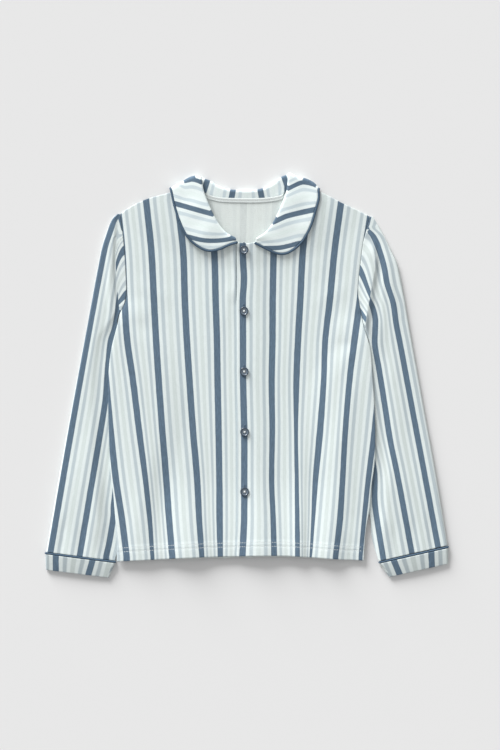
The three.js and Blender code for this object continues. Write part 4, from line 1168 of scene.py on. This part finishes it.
# Shares across the leaf, up the stand's inner side, along a wing and round its shoulder fold
LEAF_S = np.concatenate([np.linspace(0, 0.96, 25), [0.975, 0.987, 0.994, 1.0]])
INNER_S = (0, 0.03, 0.08, 0.16, 0.3, 0.5, 0.7, 0.88)
WING_T = np.concatenate([np.linspace(0, 0.95, 60), [0.965, 0.98, 0.99, 0.996, 1.0]])
FOLD_T = np.arange(1, 12) / 12
# The stripes' numbers run from one wing over the stand's 3 to 6 to the other wing's 9 to 7
LAST_STRIPE = 9


def collar_surface():
    """The collar's middle surface: rows run from the left tip round the neck to the right tip,
    and each goes from the neck seam over the roll to the outer edge."""
    seam = through(NECK_SEAM)
    rows, stripe = [], []

    def row(leaf, inside, far, u_leaf, low, stand=0.0):
        """Adds a row. The roll turns from the leaf's edge down to the height low, and the inner
        side goes on to far. stand is the share of the stand's own stripes there."""
        edge = leaf[0]
        way = (edge - inside) * (1, 1, 0)
        way = way / np.linalg.norm(way)
        radius = (edge[2] - low) / 2
        angle = np.pi / 2 - np.pi * np.arange(9, 0, -1) / 9
        turn = edge * (1, 1, 0) + math.hypot(radius, 1.0) * np.cos(angle)[:, None] * way
        turn[:, 2] = edge[2] - radius + radius * np.sin(angle)
        inner = np.concatenate([[lerp(far, turn[0], k) for k in INNER_S], turn])
        rows.append(np.concatenate([inner, leaf]))
        own = lerp(np.full(len(inner), u_leaf[0]), stand_stripe(inner), stand)
        stripe.append(np.concatenate([own, u_leaf]))

    def wing_row(side, t):
        leaf = wing_middle(side, LEAF_S, np.full_like(LEAF_S, t))
        inside = wing_middle(side, np.array([0.2]), np.array([t]))[0]
        edge = leaf[0]
        width = STRIP * (1 - 0.75 * float(smooth(t, 0.3, 1)))
        far = lerp(edge, inside, width / np.linalg.norm(edge - inside))
        far[2] = under_wing(far[0], far[1]) + SEAM + TWO_PLY / 2
        low = min(float(under_wing(edge[0], edge[1])) + SEAM + TWO_PLY / 2, edge[2] - TWO_PLY)
        lines = stripe_lines(WINGS[side]["stripes"], leaf[:, 0], 0, 1)
        u = piecewise(leaf[:, 1], lines, WING_HALVES, WING_REPEAT)
        return leaf, inside, far, LAST_STRIPE - u if side else u, low

    def fall_row(t):
        leaf = fall_middle(LEAF_S, np.full_like(LEAF_S, t))
        inside = fall_middle(np.array([0.2]), np.array([t]))[0]
        far = np.append(seam(t), FALL_LIFT + WALL / 2 + 0.2)
        return leaf, inside, far, np.full(len(leaf), stand_stripe(leaf[:1])[0]), far[2] + STAND_RISE

    def shoulder(side):
        """The rows where a wing folds over at the shoulder and becomes the fall."""
        wing, fall = wing_row(side, 0.0), fall_row(float(side))
        for share in FOLD_T[:: -1 if side else 1]:
            angle = np.pi * (0.5 - share)
            leaf = wing[0].copy()
            middle = (leaf[:, 2] + TWO_PLY / 2) / 2
            leaf[:, 2] = middle + (leaf[:, 2] - middle) * np.sin(angle)
            leaf[:, :2] += SHOULDER_BULGE * np.cos(angle) * np.array(WINGS[side]["out"])
            inside, far, low = [lerp(wing[k], fall[k], share) for k in (1, 2, 4)]
            u = lerp(wing[3], fall[3], float(smooth(share, 0.5, 1)))
            row(leaf, inside, far, u, low, float(smooth(share, 0.4, 1)))

    for t in WING_T[::-1]:
        row(*wing_row(0, t))
    shoulder(0)
    for t in np.linspace(0, 1, 110):
        row(*fall_row(t), 1.0)
    shoulder(1)
    for t in WING_T:
        row(*wing_row(1, t))
    return np.array(rows), np.array(stripe)


def unit(vectors):
    return vectors / np.maximum(np.linalg.norm(vectors, axis=-1, keepdims=True), 1e-9)


def soften(grid, times):
    """Evens a grid out a little along its rows' run."""
    for _ in range(times):
        grid[1:-1] = 0.5 * grid[1:-1] + 0.25 * (grid[:-2] + grid[2:])
    return grid


def collar_and_piping():
    rows, u = collar_surface()
    rows = soften(rows, 2)
    normal = unit(np.cross(np.gradient(rows, axis=1), np.gradient(rows, axis=0)))
    normal = unit(soften(normal, 3))
    # outwards is up on a wing
    if normal[20, -4, 2] < 0:
        normal = -normal
    edges = edge_distance(rows)
    half = TWO_PLY / 2 * rounding(np.minimum.reduce(edges), 1.0)[..., None]
    layers = [rows + normal * half, rows - normal * half]
    for layer in layers:
        layer[..., 2] = np.maximum(layer[..., 2], 0.02)
    uv = np.stack([u, edges[0] / REPEAT], -1)
    cloth = sheet_mesh("collar_cloth", *layers, uv, [KNIT_LIGHTER, KNIT_LIGHTER])

    # the piping follows the rim
    rim, out = rows[:, -1, :], normal[:, -3, :]
    tangent = np.gradient(rim, axis=0)
    aside = unit(np.cross(tangent, out))
    aside *= np.sign(np.einsum("ij,ij->i", aside, rim - rows[:, -6, :]))[:, None]
    line = rim + aside * (COLLAR_CORD + 0.05)
    line[:, 2] = np.maximum(line[:, 2], COLLAR_CORD)
    out = unit(np.cross(aside, tangent))
    cord = tube_mesh("collar_piping_cord", line, out, aside, COLLAR_CORD, False, PIPING)
    return keep(cloth, ["collar"]), keep(cord, ["collar_piping"])


collar, collar_piping = collar_and_piping()


# Neck tape

TAPE_WIDTH, TAPE_LENGTH, TAPE_UP = 6.0, 115, 1.3
TAPE_STITCH_DOWN, TAPE_GAP = 3.9, 0.12


def over_seam(down):
    """How far the tape stands off the back where its upper part lies on the seam."""
    return 0.75 * (1 - smooth(down, 1.2, 3.2))


def neck_tape():
    share = np.linspace(0.045, 0.955, 90)
    line = through(NECK_SEAM)(share)
    down = np.array([0, 0.15, 0.4, 0.8, 1.6, 2.6, 3.6, 4.4, 5.2, 5.6, 5.85, TAPE_WIDTH])
    x = np.repeat(line[:, 0:1], len(down), 1)
    y = line[:, 1:2] + TAPE_UP - down
    ends = np.minimum(share - share[0], share[-1] - share)[:, None] * TAPE_LENGTH
    thick = rounding(np.minimum(np.minimum(down, TAPE_WIDTH - down), ends), 0.6) * TAPE / 2
    thick = thick * lerp(0.3, 1.0, smooth(down, 0, 2.5))
    crown = 0.15 * np.sin(np.pi * down / TAPE_WIDTH)
    base = back_floor(x, y) + WALL + TAPE_GAP + TAPE / 2 + crown + over_seam(down)
    face, back = [np.stack([x, y, base + sign * thick], -1) for sign in (1, -1)]
    uv = np.stack([x / REPEAT, y / REPEAT], -1)
    piece = sheet_mesh("neck_tape_cloth", face, back, uv, [TAPE_WHITE, TAPE_WHITE])
    return keep(piece, ["neck_tape"])


tape = neck_tape()


# Sewing

# Length and radius of each kind of stitch
HEM_STITCH, TAPE_STITCH, BUTTON_STITCH, HOLE_STITCH = (2.5, 0.24), (1.9, 0.17), (3.5, 0.2), (1.5, 0.26)


def stitches(name, spots, ways, measures, material):
    """Short rounded stitches at spots, each lying along its way."""
    length, radius = measures
    sides, verts, faces = 6, [], []
    stations = [(-0.5, 0.35), (-0.38, 0.9), (0.0, 1.0), (0.38, 0.9), (0.5, 0.35)]
    for spot, way in zip(spots, ways):
        way = np.asarray(way, float) / np.linalg.norm(way)
        aside = np.cross(way, (0, 0, 1.0))
        aside /= np.linalg.norm(aside)
        up = np.cross(aside, way)
        base = len(verts)
        for place, size in stations:
            sunk = up * (abs(place) * 2) ** 3 * radius * 0.8
            centre = np.asarray(spot, float) + way * place * length - sunk
            for k in range(sides):
                angle = 2 * math.pi * k / sides
                around = math.cos(angle) * aside + 0.7 * math.sin(angle) * up
                verts.append(centre + radius * size * around)
        for j in range(len(stations) - 1):
            faces += ring_faces(base + j * sides, base + (j + 1) * sides, sides)
        faces.append([base + k for k in range(sides)][::-1])
        faces.append([base + (len(stations) - 1) * sides + k for k in range(sides)])
    piece = add_mesh(name, verts, faces, None, np.zeros(len(faces)), [material])
    return keep(piece, [])


def hem_stitches():
    spots, ways = [], []
    for up in HEM_STITCH_ROWS:
        for x in np.arange(-167.5, 150.5, 3.0):
            floor = over_floor if x > LAP_OVER else front_floor
            y, y2 = [float(hem_y(at)) + up for at in (x, x + 1)]
            z, z2 = [float(floor(a, b) + WALL + hem_relief(a, b)) + 0.1 for a, b in ((x, y), (x + 1, y2))]
            if left_edge(y) + 1.5 < x < right_edge(y) - 1.5 and abs(x - LAP_OVER) > 1.4:
                spots.append((x, y, z))
                ways.append((1, y2 - y, z2 - z))
    return stitches("hem_stitching", spots, ways, HEM_STITCH, LIGHT_THREAD)


def tape_stitches():
    seam, down = through(NECK_SEAM), TAPE_STITCH_DOWN
    spots, ways = [], []
    for share in np.arange(0.06, 0.945, 0.0215):
        here, there = seam(share), seam(share + 0.01)
        z = float(back_floor(here[0], here[1] - down)) + WALL + TAPE_GAP + TAPE + 0.12
        spots.append((here[0], here[1] - down, z + float(over_seam(down + TAPE_UP))))
        ways.append((there[0] - here[0], there[1] - here[1], 0))
    return stitches("tape_stitching", spots, ways, TAPE_STITCH, LIGHT_THREAD)


def button_sewing():
    """Thread in the buttons' holes and round the buttonholes, of which the last is given back."""
    spots, ways, bars, bar_ways = [], [], [], []

    def bar(x, y, rise, way):
        bars.append((x, y, float(over_floor(x, y)) + WALL + rise))
        bar_ways.append(way)

    for name, (x, y) in BUTTONS.items():
        top = float(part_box(name)[1].z) / MM
        for way in ((1, 1, 0), (1, -1, 0)):
            for k in (-1, 0, 1):
                spots.append((x - k * 0.22 * way[1], y + k * 0.22, top - 0.48 + 0.12 * (way[1] > 0)))
                ways.append(way)
        # buttonhole: two close rows of stitches and a bar at each end
        for down in np.arange(-8.6, 6.2, 0.55):
            for side in (-1, 1):
                bar(x + side * 0.85, y - down, 0.16, (1, 0.08 * side, 0))
        for down in (-9.1, 6.5):
            for off in (-0.35, 0, 0.35):
                bar(x, y - down + off, 0.22, (1, 0, 0))
    stitches("button_thread", spots, ways, BUTTON_STITCH, LIGHT_THREAD)
    return stitches("buttonhole_thread", bars, bar_ways, HOLE_STITCH, BLUE_THREAD)


hem_thread = hem_stitches()
tape_thread = tape_stitches()
hole_thread = button_sewing()


# Buttons

# Radius and height from the middle of the underside round the rim to the dished face
BUTTON_PROFILE = [
    (0, 0), (4.6, 0), (5.35, 0.25), (5.7, 0.75), (5.75, 1.2), (5.6, 1.75), (5.25, 2.1),
    (4.85, 2.2), (4.5, 2.12), (4.15, 1.85), (3.8, 1.6), (3.3, 1.5), (0, 1.5),
]
BUTTON_HOLE, HOLE_PLACE, CUTTER_DEPTH = 0.78, 1.25, 8


def fine_button(name):
    low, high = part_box(name)
    centre = Vector(((low.x + high.x) / 2, (low.y + high.y) / 2, low.z))
    count, verts, faces, rings = 48, [], [], []
    for r, z in BUTTON_PROFILE:
        places = count if r else 1
        rings.append([len(verts) + k for k in range(places)])
        for k in range(places):
            angle = 2 * math.pi * k / count
            verts.append((r * math.cos(angle) * MM, r * math.sin(angle) * MM, z * MM))
    for a, b in zip(rings, rings[1:]):
        if len(a) == 1:
            faces += [[a[0], b[(k + 1) % count], b[k]] for k in range(count)]
        elif len(b) == 1:
            faces += [[a[k], a[(k + 1) % count], b[0]] for k in range(count)]
        else:
            faces += ring_faces(a[0], b[0], count)
    mesh = bpy.data.meshes.new(name + "_resin")
    mesh.from_pydata(verts, [], faces)
    mesh.materials.append(RESIN)
    piece = bpy.data.objects.new(name + "_resin", mesh)
    bpy.context.scene.collection.objects.link(piece)
    piece.location = centre
    bpy.context.view_layer.update()
    for sx, sy in ((-1, -1), (-1, 1), (1, -1), (1, 1)):
        place = (centre.x + sx * HOLE_PLACE * MM, centre.y + sy * HOLE_PLACE * MM, centre.z + MM)
        bpy.ops.mesh.primitive_cylinder_add(
            vertices=20, radius=BUTTON_HOLE * MM, depth=CUTTER_DEPTH * MM, location=place)
        cutter = bpy.context.object
        cut = piece.modifiers.new("hole", "BOOLEAN")
        cut.operation = "DIFFERENCE"
        cut.object = cutter
        cut.solver = "EXACT"
        bpy.context.view_layer.objects.active = piece
        bpy.ops.object.modifier_apply(modifier="hole")
        bpy.data.objects.remove(cutter, do_unlink=True)
    piece.data.polygons.foreach_set("use_smooth", np.ones(len(piece.data.polygons), bool))
    piece.data.set_sharp_from_angle(angle=math.radians(40))
    keep(piece, [name])


for name in BUTTONS:
    fine_button(name)


# Floor and light

FLOOR_GREY, FLOOR_SIZE, FLOOR_GAP, SKY_STRENGTH = 0.748, 12, 0.0002, 0.55
floor_material, floor_tree, floor_shader = new_material("floor_paint")
feed(floor_tree, floor_shader, {"Base Color": opaque([FLOOR_GREY] * 3), "Roughness": 0.95})
bpy.ops.mesh.primitive_plane_add(size=FLOOR_SIZE, location=(0, 0, -FLOOR_GAP))
floor = bpy.context.object
floor.name = "floor"
floor.data.materials.append(floor_material)

world = bpy.data.worlds.new("world")
bpy.context.scene.world = world
world.use_nodes = True
feed(world.node_tree, world.node_tree.nodes["Background"], {0: (1, 1, 1, 1), 1: SKY_STRENGTH})
bpy.context.scene.view_settings.view_transform = "Standard"


def soft_light(name, towards, strength, spread):
    """A broad, even light from far away, in the direction given."""
    data = bpy.data.lights.new(name, "SUN")
    data.energy = strength
    data.angle = math.radians(spread)
    lamp = bpy.data.objects.new(name, data)
    lamp.location = Vector(towards) * 3
    lamp.rotation_euler = Vector(towards).to_track_quat("Z", "Y").to_euler()
    bpy.context.scene.collection.objects.link(lamp)
    return lamp


KEY_TOWARDS, KEY_STRENGTH, KEY_SPREAD = (-0.44, 0.83, 0.30), 5.35, 32
soft_light("key_light", KEY_TOWARDS, KEY_STRENGTH, KEY_SPREAD)
